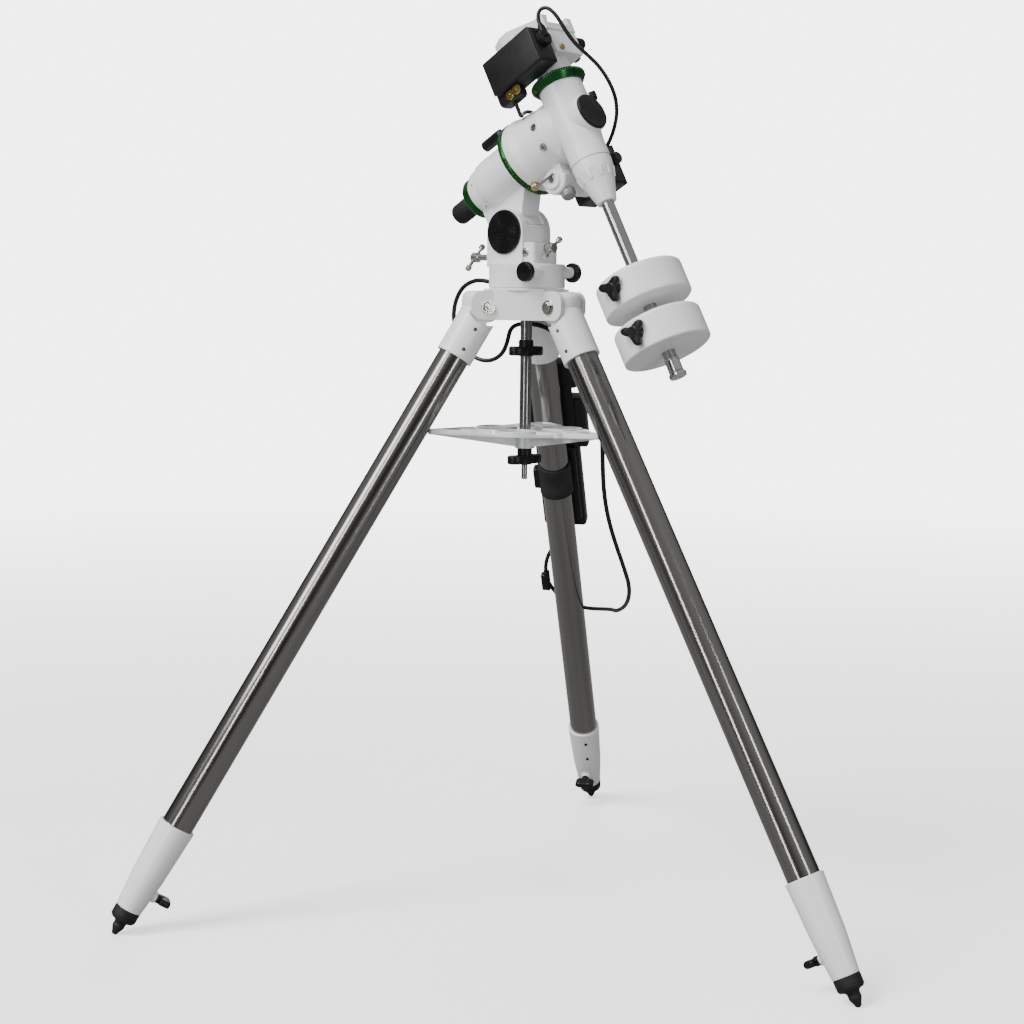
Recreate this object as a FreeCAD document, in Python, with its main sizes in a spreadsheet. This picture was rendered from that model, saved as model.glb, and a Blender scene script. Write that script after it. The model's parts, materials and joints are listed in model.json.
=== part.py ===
import FreeCAD, Part
import math
import os

import Sketcher

# German equatorial telescope mount with counterweights on a folding steel-tube tripod.
# Millimetres, +Z up, +Y north, +X east. The origin is on the floor under the middle of the
# object's box. Three working frames are used:
#   tripod frame   the tripod's vertical axis, z from the floor
#   leg frame      origin at a leg's hinge bolt, z up along the leg, y outward, x along the bolt
#   axes frame     origin where the polar (RA) and declination (DEC) axes cross,
#                  y up along the polar axis, z up along the declination axis, x east

Vector = FreeCAD.Vector
Rotation = FreeCAD.Rotation
Placement = FreeCAD.Placement

SIZES = {
    # tripod
    "tripod_shift": -139.97,
    "spread_angle": 30.9,
    "hinge_height": 855.0,
    "hinge_radius": 63.5,
    "hub_bottom": 836.8,
    "lug_top": 877.5,
    "bridge_top": 880.4,
    "hub_top": 881.7,
    "core_radius": 39.5,
    "lug_half": 26.0,
    "lug_end": 87.5,
    "lug_corner": 16.0,
    "bridge_half": 35.5,
    "bridge_reach": 50.5,
    "slot_half": 18.8,
    "tongue_half": 18.5,
    "tongue_radius": 22.0,
    "lug_clearance": 26.9,
    "bolt_radius": 4.0,
    "bolt_head_radius": 7.5,
    "bolt_head_height": 5.0,
    "head_radius": 26.3,
    "head_rim": 81.5,
    "tube_radius": 22.25,
    "tube_wall": 1.5,
    "tube_top": 42.0,
    "tube_end": 862.0,
    "clamp_top": 827.5,
    "clamp_bend": 905.0,
    "clamp_end": 955.5,
    "clamp_radius": 26.0,
    "clamp_bend_radius": 23.0,
    "clamp_end_radius": 18.3,
    "inner_tube_radius": 15.6,
    "inner_tube_top": 560.0,
    "foot_collar_radius": 18.2,
    "foot_collar_height": 17.6,
    "foot_cone_radius": 8.5,
    "foot_tip_radius": 5.0,
    "lock_position": 927.0,
    "lock_screw_radius": 3.0,
    # spreader
    "rod_radius": 8.2,
    "rod_thin_radius": 4.25,
    "rod_end": 611.6,
    "rod_stud_radius": 5.9,
    "rod_stud_top": 905.0,
    "tray_top": 681.0,
    "tray_thickness": 4.0,
    "tray_radius": 93.0,
    "tray_tip": 140.3,
    "tray_boss_radius": 14.0,
    "tray_boss_bottom": 656.0,
    "tray_hole_radius": 27.0,
    "tray_hole_place": 55.0,
    "small_hole_radius": 13.0,
    "wing_reach": 25.8,
    "rod_knob_bottom": 786.0,
    "tray_knob_bottom": 632.7,
    # mount base
    "base_bottom": 882.0,
    "base_top": 915.6,
    "base_radius": 53.5,
    "cheek_outer": 29.0,
    "cheek_inner": 18.0,
    "cheek_radius": 34.0,
    "pivot_north": -17.0,
    "pivot_height": 959.5,
    "north_bolt_height": 938.0,
    "south_bolt_height": 925.0,
    "altitude_bolt_radius": 4.5,
    "bar_radius": 1.7,
    "bar_ball_radius": 3.3,
    "azimuth_screw_north": 42.0,
    "azimuth_screw_height": 904.0,
    "azimuth_knob_radius": 13.5,
    # polar axis
    "latitude": 29.0,
    "crossing_north": 84.3,
    "crossing_height": 1107.6,
    "ra_shaft_radius": 22.0,
    "ra_bore_radius": 14.3,
    "ra_lower_end": -195.4,
    "ra_ring_bottom": -99.4,
    "ra_drum_bottom": -91.4,
    "ra_drum_top": -40.4,
    "housing_radius": 39.5,
    "setting_ring_radius": 54.0,
    "drum_radius": 54.5,
    "drum_top_radius": 47.0,
    "ra_tongue_half": 17.7,
    "ra_tongue_radius": 31.0,
    "cap_radius": 15.5,
    "lever_radius": 8.0,
    "lever_offset": 51.5,
    # declination axis
    "dec_body_radius": 31.4,
    "dec_ring_bottom": 54.0,
    "dec_ring_top": 66.0,
    "dec_shaft_radius": 14.0,
    "dec_head_radius": 25.5,
    "saddle_bottom": 128.0,
    "saddle_top": 150.0,
    "channel_floor": 138.5,
    "channel_half": 23.0,
    "channel_lip_half": 18.5,
    "channel_middle": -6.0,
    "weight_shaft_radius": 9.0,
    "weight_shaft_end": -362.0,
    "nose_end": -126.0,
    "weight_radius": 60.5,
    "weight_height": 46.0,
    "upper_weight_top": -238.0,
    "lower_weight_top": -306.0,
    # hand controller, cords and fits
    "cord_radius": 3.25,
    "lead_radius": 2.75,
    "gap": 0.3,
}

doc = FreeCAD.newDocument("telescope_mount")
sheet = doc.addObject("Spreadsheet::Sheet", "dims")
sheet.Label = "dims"
for row, (alias, number) in enumerate(SIZES.items(), start=1):
    sheet.set("A%d" % row, alias)
    sheet.set("B%d" % row, str(number))
    sheet.setAlias("B%d" % row, alias)
doc.recompute()


class Size:
    """A number together with the spreadsheet expression that it comes from."""

    def __init__(self, value, text):
        self.value = value
        self.text = text

    def _joined(self, other, sign, result):
        return Size(result, "(%s %s %s)" % (self.text, sign, sized(other).text))

    def __add__(self, other):
        return self._joined(other, "+", self.value + sized(other).value)

    def __sub__(self, other):
        return self._joined(other, "-", self.value - sized(other).value)

    def __mul__(self, other):
        return self._joined(other, "*", self.value * sized(other).value)

    def __truediv__(self, other):
        return self._joined(other, "/", self.value / sized(other).value)

    def __radd__(self, other):
        return sized(other) + self

    def __rsub__(self, other):
        return sized(other) - self

    def __rmul__(self, other):
        return sized(other) * self

    def __neg__(self):
        return Size(-self.value, "(0 - %s)" % self.text)


def sized(number):
    if isinstance(number, Size):
        return number
    return Size(float(number), "(%.6f)" % number)


class Dimensions:
    """dim.name gives the cell with that alias as a Size."""

    def __getattr__(self, alias):
        return Size(float(sheet.get(alias)), "<<dims>>." + alias)


dim = Dimensions()

AXIS_TURNS = {
    "x": Rotation(Vector(0, 1, 0), 90),
    "-x": Rotation(Vector(0, 1, 0), -90),
    "y": Rotation(Vector(1, 0, 0), -90),
    "-y": Rotation(Vector(1, 0, 0), 90),
    "z": Rotation(),
}


# ---------------------------------------------------------------- building blocks

def put(item, at, turn=None):
    """Bind an object's position to the sheet; turn is a Rotation or an axis name."""
    item.Placement = Placement(Vector(), AXIS_TURNS[turn] if isinstance(turn, str) else turn or Rotation())
    for name, number in zip("xyz", at):
        item.setExpression("Placement.Base." + name, sized(number).text)
    return item


def primitive(kind, name, at, turn, **sizes):
    item = doc.addObject("Part::" + kind, name)
    for prop, number in sizes.items():
        item.setExpression(prop, sized(number).text)
    return put(item, at, turn)


def cylinder(name, radius, length, at=(0, 0, 0), along="z"):
    return primitive("Cylinder", name, at, along, Radius=radius, Height=length)


def cone(name, start_radius, end_radius, length, at=(0, 0, 0), along="z"):
    return primitive("Cone", name, at, along, Radius1=start_radius, Radius2=end_radius, Height=length)


def sphere(name, radius, at=(0, 0, 0)):
    return primitive("Sphere", name, at, "z", Radius=radius)


def hexagon(name, radius, length, at=(0, 0, 0), along="z"):
    item = doc.addObject("Part::Prism", name)
    item.Polygon = 6
    item.setExpression("Circumradius", sized(radius).text)
    item.setExpression("Height", sized(length).text)
    return put(item, at, along)


def box(name, x, y, z, turn=None):
    """A box between two values on each axis, then turned about the frame's origin."""
    item = doc.addObject("Part::Box", name)
    for prop, (low, high) in (("Length", x), ("Width", y), ("Height", z)):
        item.setExpression(prop, (sized(high) - sized(low)).text)
    corner = (x[0], y[0], z[0])
    if turn is None:
        return put(item, corner)
    put(item, corner)
    return turned_group(name + "_turned", [item], turn)


def turned_group(name, items, turn, at=(0, 0, 0)):
    group = doc.addObject("Part::Compound", name)
    group.Links = items
    return put(group, at, turn)


def fuse(name, *items):
    whole = doc.addObject("Part::MultiFuse", name)
    whole.Shapes = list(items)
    whole.Refine = True
    return whole


def cut(name, base, *tools):
    rest = doc.addObject("Part::Cut", name)
    rest.Base = base
    rest.Tool = tools[0] if len(tools) == 1 else fuse(name + "_tools", *tools)
    rest.Refine = True
    return rest


def together(name, *items):
    group = doc.addObject("Part::Compound", name)
    group.Links = list(items)
    return group


def rounded(name, base, radius, wanted):
    """Fillet of the edges for which wanted(edge) is true."""
    doc.recompute()
    numbers = [index for index, edge in enumerate(base.Shape.Edges, start=1) if wanted(edge)]
    if not numbers:
        raise RuntimeError("no edge to round on " + name)
    fillet = doc.addObject("Part::Fillet", name)
    fillet.Base = base
    fillet.Edges = [(index, sized(radius).value, sized(radius).value) for index in numbers]
    base.Visibility = False
    return fillet


def edge_along(axis, *tests):
    """Straight edges along an axis whose middle passes each (axis, value) test."""
    def wanted(edge):
        if not isinstance(edge.Curve, Part.Line):
            return False
        if abs(abs(edge.Curve.Direction.dot(axis)) - 1) > 1e-6:
            return False
        middle = edge.valueAt((edge.FirstParameter + edge.LastParameter) / 2)
        return all(abs(middle.dot(direction) - sized(value).value) < 0.01 for direction, value in tests)
    return wanted


def round_edge(radius, axis, place):
    """Circular edges of a radius whose centre lies at a place along an axis."""
    def wanted(edge):
        curve = edge.Curve
        if not isinstance(curve, Part.Circle) or abs(curve.Radius - sized(radius).value) > 0.01:
            return False
        return abs(curve.Center.dot(axis) - sized(place).value) < 0.01
    return wanted


EAST = Vector(1, 0, 0)
NORTH = Vector(0, 1, 0)
UP = Vector(0, 0, 1)


def outline_sketch(body, role, points):
    """A closed outline in one of a body's own planes, with every corner bound to the sheet."""
    plane = next(feature for feature in body.Origin.OriginFeatures if feature.Role == role)
    sketch = body.newObject("Sketcher::SketchObject", body.Name + "_outline")
    sketch.AttachmentSupport = [(plane, "")]
    sketch.MapMode = "FlatFace"
    corners = [(sized(across), sized(up)) for across, up in points]
    places = [Vector(across.value, up.value, 0) for across, up in corners]
    count = len(places)
    for index in range(count):
        sketch.addGeometry(Part.LineSegment(places[index], places[(index + 1) % count]), False)
    for index in range(count):
        sketch.addConstraint(Sketcher.Constraint("Coincident", index, 2, (index + 1) % count, 1))
    for index, (across, up) in enumerate(corners):
        for kind, number, origin_axis in (("DistanceX", across, -2), ("DistanceY", up, -1)):
            if abs(number.value) < 1e-9:
                sketch.addConstraint(Sketcher.Constraint("PointOnObject", index, 1, origin_axis))
                continue
            made = sketch.addConstraint(Sketcher.Constraint(kind, -1, 1, index, 1, number.value))
            sketch.setExpression("Constraints[%d]" % made, number.text)
    return sketch


def turned(name, points, rounding=None):
    """A body turned about z from (radius, height) corners; rounding is {corner: radius}."""
    body = doc.addObject("PartDesign::Body", name)
    sketch = outline_sketch(body, "XZ_Plane", points)
    turning = body.newObject("PartDesign::Revolution", name + "_turning")
    turning.Profile = sketch
    turning.ReferenceAxis = (sketch, ["V_Axis"])
    turning.Angle = 360
    sketch.Visibility = False
    doc.recompute()
    for corner, radius in (rounding or {}).items():
        across, up = points[corner]
        before = body.Tip
        wanted = round_edge(across, UP, up)
        edges = ["Edge%d" % index for index, edge in enumerate(before.Shape.Edges, start=1) if wanted(edge)]
        if not edges:
            raise RuntimeError("no edge to round on " + name)
        fillet = body.newObject("PartDesign::Fillet", name + "_fillet")
        fillet.Base = (before, edges)
        fillet.setExpression("Radius", sized(radius).text)
        body.Tip = fillet
        doc.recompute()
    return body


def padded(name, role, points, low, high):
    """A body padded from an outline, between two values along the plane's normal."""
    body = doc.addObject("PartDesign::Body", name)
    sketch = outline_sketch(body, role, points)
    pad = body.newObject("PartDesign::Pad", name + "_pad")
    pad.Profile = sketch
    pad.setExpression("Length", (sized(high) - sized(low)).text)
    sketch.Visibility = False
    normal = {"XY_Plane": UP, "XZ_Plane": NORTH * -1, "YZ_Plane": EAST}[role]
    for name_, part in zip("xyz", normal):
        body.setExpression("Placement.Base." + name_, (sized(low) * part).text)
    return body


pieces = []


def piece(label, item, frame, turn=None):
    """Name a finished piece and place it in the model."""
    if item.ExpressionEngine:
        item = together(label + "_piece", item)
    item.Label = label
    item.Placement = frame.multiply(Placement(Vector(), AXIS_TURNS[turn] if turn else Rotation()))
    pieces.append(item)
    return item


# ---------------------------------------------------------------- frames

TRIPOD = Placement(Vector(0, dim.tripod_shift.value, 0), Rotation())
AXES = TRIPOD.multiply(
    Placement(
        Vector(0, dim.crossing_north.value, dim.crossing_height.value),
        Rotation(EAST, dim.latitude.value),
    )
)
LEGS = {"north": 0, "east": 120, "west": 240}


def leg_turn(azimuth):
    return Rotation(UP, -azimuth)


def leg_frame(azimuth):
    hinge = Placement(Vector(0, dim.hinge_radius.value, dim.hinge_height.value), Rotation(EAST, dim.spread_angle.value))
    return TRIPOD.multiply(Placement(Vector(), leg_turn(azimuth))).multiply(hinge)


# ---------------------------------------------------------------- tripod hub

def fork(name, azimuth):
    arm = box(name, (-dim.lug_half, dim.lug_half), (0, dim.lug_end), (dim.hub_bottom, dim.lug_top))
    end = rounded(name + "_end", arm, dim.lug_corner, edge_along(EAST, (NORTH, dim.lug_end)))
    return turned_group(name + "_place", [end], leg_turn(azimuth))


def tripod_hub():
    solid = [
        cylinder("hub_core", dim.core_radius, dim.lug_top - dim.hub_bottom, (0, 0, dim.hub_bottom)),
        cylinder("hub_disc", dim.base_radius, dim.hub_top - dim.lug_top, (0, 0, dim.lug_top)),
        cylinder("azimuth_peg", 4, 22, (0, dim.azimuth_screw_north, dim.hub_top - 1)),
    ]
    tools = [cylinder("hub_bore", dim.rod_radius + dim.gap, 60, (0, 0, dim.hub_bottom - 5))]
    for name, azimuth in LEGS.items():
        solid.append(fork("hub_fork_" + name, azimuth))
        bridge = box(
            "hub_bridge_" + name,
            (-dim.bridge_half, dim.bridge_half),
            (0, dim.bridge_reach),
            (dim.hub_bottom, dim.bridge_top),
        )
        solid.append(turned_group("hub_bridge_place_" + name, [bridge], leg_turn(azimuth + 60)))
        slot = box(
            "hub_slot_" + name,
            (-dim.slot_half, dim.slot_half),
            (dim.core_radius, dim.lug_end + 5),
            (dim.hub_bottom - 5, dim.lug_top),
        )
        bore = cylinder(
            "hub_bolt_bore_" + name, dim.bolt_radius, 80, (-40, dim.hinge_radius, dim.hinge_height), "x"
        )
        opening = fuse("hub_opening_" + name, slot, bore)
        tools.append(turned_group("hub_slot_place_" + name, [opening], leg_turn(azimuth)))
    piece("tripod_hub", cut("hub", fuse("hub_solid", *solid), *tools), TRIPOD)


def hub_bolts():
    bolts = []
    for name, azimuth in LEGS.items():
        reach = dim.lug_half + dim.bolt_head_height
        axis = (dim.hinge_radius, dim.hinge_height)
        shank = cylinder("bolt_shank_" + name, dim.bolt_radius, 2 * reach, (-reach, *axis), "x")
        head = hexagon(
            "bolt_head_" + name, dim.bolt_head_radius, dim.bolt_head_height, (dim.lug_half, *axis), "x"
        )
        nut = hexagon(
            "bolt_nut_" + name, dim.bolt_head_radius, dim.bolt_head_height, (-reach, *axis), "x"
        )
        bolts.append(turned_group("bolt_" + name, [fuse("bolt_solid_" + name, shank, head, nut)], leg_turn(azimuth)))
    piece("hub_bolts", together("bolts", *bolts), TRIPOD)


# ---------------------------------------------------------------- legs

def leg_head(name, frame):
    level = Rotation(EAST, -dim.spread_angle.value)
    top = dim.lug_top - dim.hinge_height - 0.5
    shoulder_back = 3.5
    sleeve = cylinder("head_sleeve_" + name, dim.head_radius, dim.head_rim + 40, (0, 0, -dim.head_rim))
    knuckle = turned(
        "head_knuckle_" + name,
        [(0, -15), (dim.head_radius, -15), (dim.head_radius, top), (0, top)],
        {2: 10},
    )
    knuckle.Placement = Placement(Vector(0, shoulder_back, 0), Rotation())
    shoulder = turned_group("head_shoulder_" + name, [knuckle], level)
    above = box("head_above_" + name, (-60, 60), (-90, 90), (top, top + 80))
    sides = []
    for sign, side in ((1, "right"), (-1, "left")):
        span = (dim.tongue_half, 45) if sign > 0 else (-45, -dim.tongue_half)
        sides.append(box("head_%s_%s" % (side, name), span, (-90, 0), (-dim.lug_clearance, 80)))
        sides.append(
            cylinder("head_%s_round_%s" % (side, name), dim.lug_clearance, 45 - dim.tongue_half, (span[0], 0, 0), "x")
        )
    inner_block = box("head_inner_%s" % name, (-30, 30), (-90, 0), (-dim.lug_clearance, 80))
    inner_round = cylinder("head_inner_round_%s" % name, dim.tongue_radius, 60, (-30, 0, 0), "x")
    inner_cut = cut("head_inner_cut_" + name, inner_block, inner_round)
    level_tool = fuse("head_level_tool_" + name, above, *sides, inner_cut)
    level_tools = turned_group("head_level_" + name, [level_tool], level)
    tools = [
        level_tools,
        cylinder("head_bolt_bore_" + name, dim.bolt_radius + dim.gap, 80, (-40, 0, 0), "x"),
        cylinder("head_bore_" + name, dim.tube_radius, dim.head_rim - dim.tube_top + 5, (0, 0, -dim.head_rim - 5)),
    ]
    whole = cut("head_" + name, fuse("head_solid_" + name, sleeve, shoulder), *tools)
    piece(name + "_leg_head", whole, frame)


def leg_tube(name, frame):
    length = dim.tube_end - dim.tube_top
    outside = cylinder("tube_outside_" + name, dim.tube_radius, length, (0, 0, -dim.tube_end))
    inside = cylinder(
        "tube_inside_" + name, dim.tube_radius - dim.tube_wall, length + 2, (0, 0, -dim.tube_end - 1)
    )
    piece(name + "_leg_tube", cut("tube_" + name, outside, inside), frame)


def leg_clamp(name, frame):
    bore = dim.inner_tube_radius + 0.4
    shell = turned(
        "clamp_shell_" + name,
        [
            (dim.tube_radius, -dim.clamp_top),
            (dim.clamp_radius, -dim.clamp_top),
            (dim.clamp_bend_radius, -dim.clamp_bend),
            (dim.clamp_end_radius, -dim.clamp_end),
            (bore, -dim.clamp_end),
            (bore, -dim.tube_end),
            (dim.tube_radius, -dim.tube_end),
        ],
        {1: 1.2},
    )
    boss = cylinder("clamp_boss_" + name, 8, 10, (0, -15.9, -dim.lock_position), "-y")
    boss_end = rounded("clamp_boss_end_" + name, boss, 2, round_edge(8, NORTH, -25.9))
    clear = cylinder("clamp_clear_" + name, bore, 60, (0, 0, -dim.lock_position - 28))
    screw = cylinder(
        "clamp_screw_bore_" + name, dim.lock_screw_radius + dim.gap, 20, (0, -8, -dim.lock_position), "-y"
    )
    whole = cut("clamp_" + name, fuse("clamp_solid_" + name, shell, boss_end), clear, screw)
    piece(name + "_leg_clamp", whole, frame)


def inner_leg(name, frame):
    collar_top = dim.clamp_end + 0.4
    collar_bottom = collar_top + dim.foot_collar_height
    tip_centre = (dim.hinge_height - dim.foot_tip_radius) / math.cos(math.radians(dim.spread_angle.value))
    length = collar_top - dim.inner_tube_top
    outside = cylinder("inner_outside_" + name, dim.inner_tube_radius, length, (0, 0, -collar_top))
    inside = cylinder(
        "inner_inside_" + name, dim.inner_tube_radius - dim.tube_wall, length + 2, (0, 0, -collar_top - 1)
    )
    collar = turned(
        "foot_collar_" + name,
        [
            (0, -collar_bottom),
            (dim.foot_collar_radius, -collar_bottom),
            (dim.foot_collar_radius, -collar_top),
            (0, -collar_top),
        ],
        {1: 4},
    )
    spike = cone(
        "foot_spike_" + name,
        dim.foot_tip_radius,
        dim.foot_cone_radius,
        tip_centre - collar_bottom + 1,
        (0, 0, -tip_centre),
    )
    tip = sphere("foot_tip_" + name, dim.foot_tip_radius, (0, 0, -tip_centre))
    foot = fuse("foot_" + name, collar, spike, tip)
    piece(name + "_inner_leg", together("inner_" + name, cut("inner_tube_" + name, outside, inside), foot), frame)


def wings(name, reach, half_width, low, high, collar_radius):
    """Two wings across a knob, thinner towards the middle."""
    bar = box(name + "_bar", (-reach, reach), (-half_width, half_width), (low, high))
    return rounded(name + "_wings", bar, half_width * 0.9, edge_along(UP))


def lock_knob(name, frame):
    face = -26.2
    height = -dim.lock_position
    screw = cylinder("lock_screw_" + name, dim.lock_screw_radius, 10, (0, -16.2, height), "-y")
    hub = cylinder("lock_hub_" + name, 6.5, 9, (0, face, height), "-y")
    bar = wings("lock_" + name, 17, 4, 4, 15, 6.5)
    wing = turned_group("lock_wing_" + name, [bar], "-y", (0, face, height))
    piece(name + "_lock_knob", fuse("lock_" + name + "_solid", screw, hub, wing), frame)


# ---------------------------------------------------------------- spreader

def centre_rod():
    rod = turned(
        "rod",
        [
            (0, dim.rod_end),
            (dim.rod_thin_radius, dim.rod_end),
            (dim.rod_thin_radius, dim.tray_top + dim.gap),
            (dim.rod_radius, dim.tray_top + dim.gap),
            (dim.rod_radius, dim.bridge_top),
            (dim.rod_stud_radius, dim.bridge_top),
            (dim.rod_stud_radius, dim.rod_stud_top),
            (0, dim.rod_stud_top),
        ],
        {1: 0.8},
    )
    piece("centre_rod", rod, TRIPOD)


def wing_knob(label, bottom, bore):
    collar = cylinder(label + "_collar", 10.5, 23, (0, 0, bottom))
    bar = wings(label, dim.wing_reach, 6, bottom, bottom + 14, 10.5)
    hole = cylinder(label + "_hole", bore, 40, (0, 0, bottom - 5))
    piece(label, cut(label + "_solid", fuse(label + "_body", collar, bar), hole), TRIPOD)


def spreader_tray():
    low = dim.tray_top - dim.tray_thickness
    solid = [
        cylinder("tray_disc", dim.tray_radius, dim.tray_thickness, (0, 0, low)),
        cylinder("tray_boss", dim.tray_boss_radius, low - dim.tray_boss_bottom + 1, (0, 0, dim.tray_boss_bottom)),
    ]
    tools = [cylinder("tray_bore", dim.rod_thin_radius + dim.gap, 60, (0, 0, dim.tray_boss_bottom - 5))]
    for name, azimuth in LEGS.items():
        arm = padded(
            "tray_arm_" + name,
            "XY_Plane",
            [(-44, 62), (44, 62), (6, dim.tray_tip), (-6, dim.tray_tip)],
            low,
            dim.tray_top,
        )
        rib = padded(
            "tray_rib_" + name,
            "YZ_Plane",
            [(0, dim.tray_boss_bottom + 2), (14, dim.tray_boss_bottom + 2), (dim.tray_tip - 6, low - 1),
             (dim.tray_tip - 6, low + 1), (0, low + 1)],
            -2,
            2,
        )
        solid.append(turned_group("tray_arm_place_" + name, [arm], leg_turn(azimuth)))
        solid.append(turned_group("tray_rib_place_" + name, [rib], leg_turn(azimuth)))
        large = cylinder("tray_hole_" + name, dim.tray_hole_radius, 12, (0, dim.tray_hole_place, low - 4))
        tools.append(turned_group("tray_hole_place_" + name, [large], leg_turn(azimuth + 60)))
        for side in (-1, 1):
            small = cylinder(
                "tray_small_%s_%d" % (name, side + 1), dim.small_hole_radius, 12, (side * 20, 82, low - 4)
            )
            tools.append(turned_group("tray_small_place_%s_%d" % (name, side + 1), [small], leg_turn(azimuth)))
    piece("spreader_tray", cut("tray", fuse("tray_solid", *solid), *tools), TRIPOD)


def cord_gland():
    plateau = -dim.bridge_reach
    bracket = box("gland_bracket", (-7, 7), (plateau - 11, plateau - 6), (858, 897))
    foot = box("gland_foot", (-7, 7), (plateau - 11, plateau), (858, 874))
    nut = hexagon("gland_nut", 7, 5, (0, plateau - 11, 890), "-y")
    sleeve = cone("gland_sleeve", 5, 4, 5, (0, plateau - 16, 890), "-y")
    piece("cord_gland", fuse("gland", bracket, foot, nut, sleeve), TRIPOD)


# ---------------------------------------------------------------- mount base

def mount_base():
    pivot = (dim.pivot_north, dim.pivot_height)
    south_face = dim.pivot_north - dim.cheek_radius
    north_face = dim.pivot_north + dim.cheek_radius
    drum = turned(
        "base_drum",
        [(0, dim.base_bottom), (dim.base_radius, dim.base_bottom), (dim.base_radius, dim.base_top), (0, dim.base_top)],
        {2: 1.5},
    )
    cheeks = box(
        "base_cheeks", (-dim.cheek_outer, dim.cheek_outer), (south_face, north_face), (dim.base_top - 5, pivot[1])
    )
    cheek_tops = cylinder("base_cheek_tops", dim.cheek_radius, 2 * dim.cheek_outer, (-dim.cheek_outer, *pivot), "x")
    north_block = box("base_north_block", (-26, 26), (5, 35), (dim.base_top - 5, 945))
    block_end = rounded("base_block_end", north_block, 5, edge_along(UP, (NORTH, 35)))
    south_boss = cylinder("base_south_boss", 9, 22, (0, south_face + 6, dim.south_bolt_height), "-y")
    solid = [drum, cheeks, cheek_tops, block_end, south_boss]
    tools = [
        box("base_slot", (-dim.cheek_inner, dim.cheek_inner), (-70, 15), (927.5, 1010)),
        cylinder("base_pin_bore", 6, 80, (-40, *pivot), "x"),
        cylinder("base_stud_bore", dim.rod_stud_radius + dim.gap, 26, (0, 0, dim.base_bottom)),
        box("base_peg_pocket", (-14, 14), (35, 48), (dim.base_bottom - 1, 912)),
        cylinder("base_north_bore", dim.altitude_bolt_radius + dim.gap, 40, (0, 5, dim.north_bolt_height), "y"),
        cylinder("base_south_bore", dim.altitude_bolt_radius + dim.gap, 40, (0, -34, dim.south_bolt_height), "-y"),
    ]
    for side, direction in ((1, "x"), (-1, "-x")):
        start = (10 * side, dim.azimuth_screw_north, dim.azimuth_screw_height)
        solid.append(cylinder("base_screw_boss" + direction[-2:], 8, 33.5, start, direction))
        tools.append(cylinder("base_screw_bore" + direction[-2:], 3 + dim.gap, 40, start, direction))
        face = (43.7 * side, dim.azimuth_screw_north, dim.azimuth_screw_height)
        tools.append(cylinder("base_knob_room" + direction[-2:], dim.azimuth_knob_radius + 1, 20, face, direction))
    piece("mount_base", cut("base", fuse("base_solid", *solid), *tools), TRIPOD)


def azimuth_knob(label, side, direction):
    place = (dim.azimuth_screw_north, dim.azimuth_screw_height)
    screw = cylinder(label + "_screw", 3, 35, (10.8 * side, *place), direction)
    knob = turned(
        label + "_knob",
        [(0, 0), (dim.azimuth_knob_radius, 0), (dim.azimuth_knob_radius, 10), (0, 10)],
        {1: 1.5, 2: 1.5},
    )
    head = turned_group(label + "_head", [knob], direction, (44 * side, *place))
    piece(label, fuse(label + "_solid", screw, head), TRIPOD)


def altitude_axle():
    pin = cylinder("pin", 6, 2 * dim.cheek_outer, (-dim.cheek_outer, dim.pivot_north, dim.pivot_height), "x")
    caps = []
    for side, direction in ((1, "x"), (-1, "-x")):
        name = "altitude_cap_east" if side > 0 else "altitude_cap_west"
        disc = turned(name, [(0, 0), (31, 0), (31, 3.5), (0, 3.5)], {2: 1.2})
        place = (side * dim.cheek_outer, dim.pivot_north, dim.pivot_height)
        caps.append(turned_group(name + "_place", [disc], direction, place))
    piece("altitude_axle", fuse("axle", pin, *caps), TRIPOD)


def altitude_bolt(label, tip, head, height, bar_length, bar_angle):
    """A screw along y with a sliding bar through its head; bar_angle is from east, upward."""
    direction = "y" if head > tip else "-y"
    shank = cylinder(label + "_shank", dim.altitude_bolt_radius, abs(head - tip), (0, tip, height), direction)
    bar_place = head + (-4 if direction == "y" else 4)
    collar = cylinder(label + "_collar", 6.2, 10, (0, head, height), "-y" if direction == "y" else "y")
    angle = math.radians(bar_angle)
    half = bar_length / 2
    bar = cylinder(label + "_bar", dim.bar_radius, bar_length, (0, 0, -half))
    balls = [sphere(label + "_ball_%d" % index, dim.bar_ball_radius, (0, 0, end)) for index, end in
             enumerate((-half, half))]
    tilt = Rotation(UP, Vector(math.cos(angle), 0, math.sin(angle)))
    handle = turned_group(label + "_handle", [bar, *balls], tilt, (0, bar_place, height))
    piece(label, fuse(label + "_solid", shank, collar, handle), TRIPOD)


# ---------------------------------------------------------------- polar axis

def about_polar(name, points, rounding=None):
    """A body turned about the polar axis from (radius, place along the axis) corners."""
    return turned_group(name + "_polar", [turned(name, points, rounding)], "y")


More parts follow.
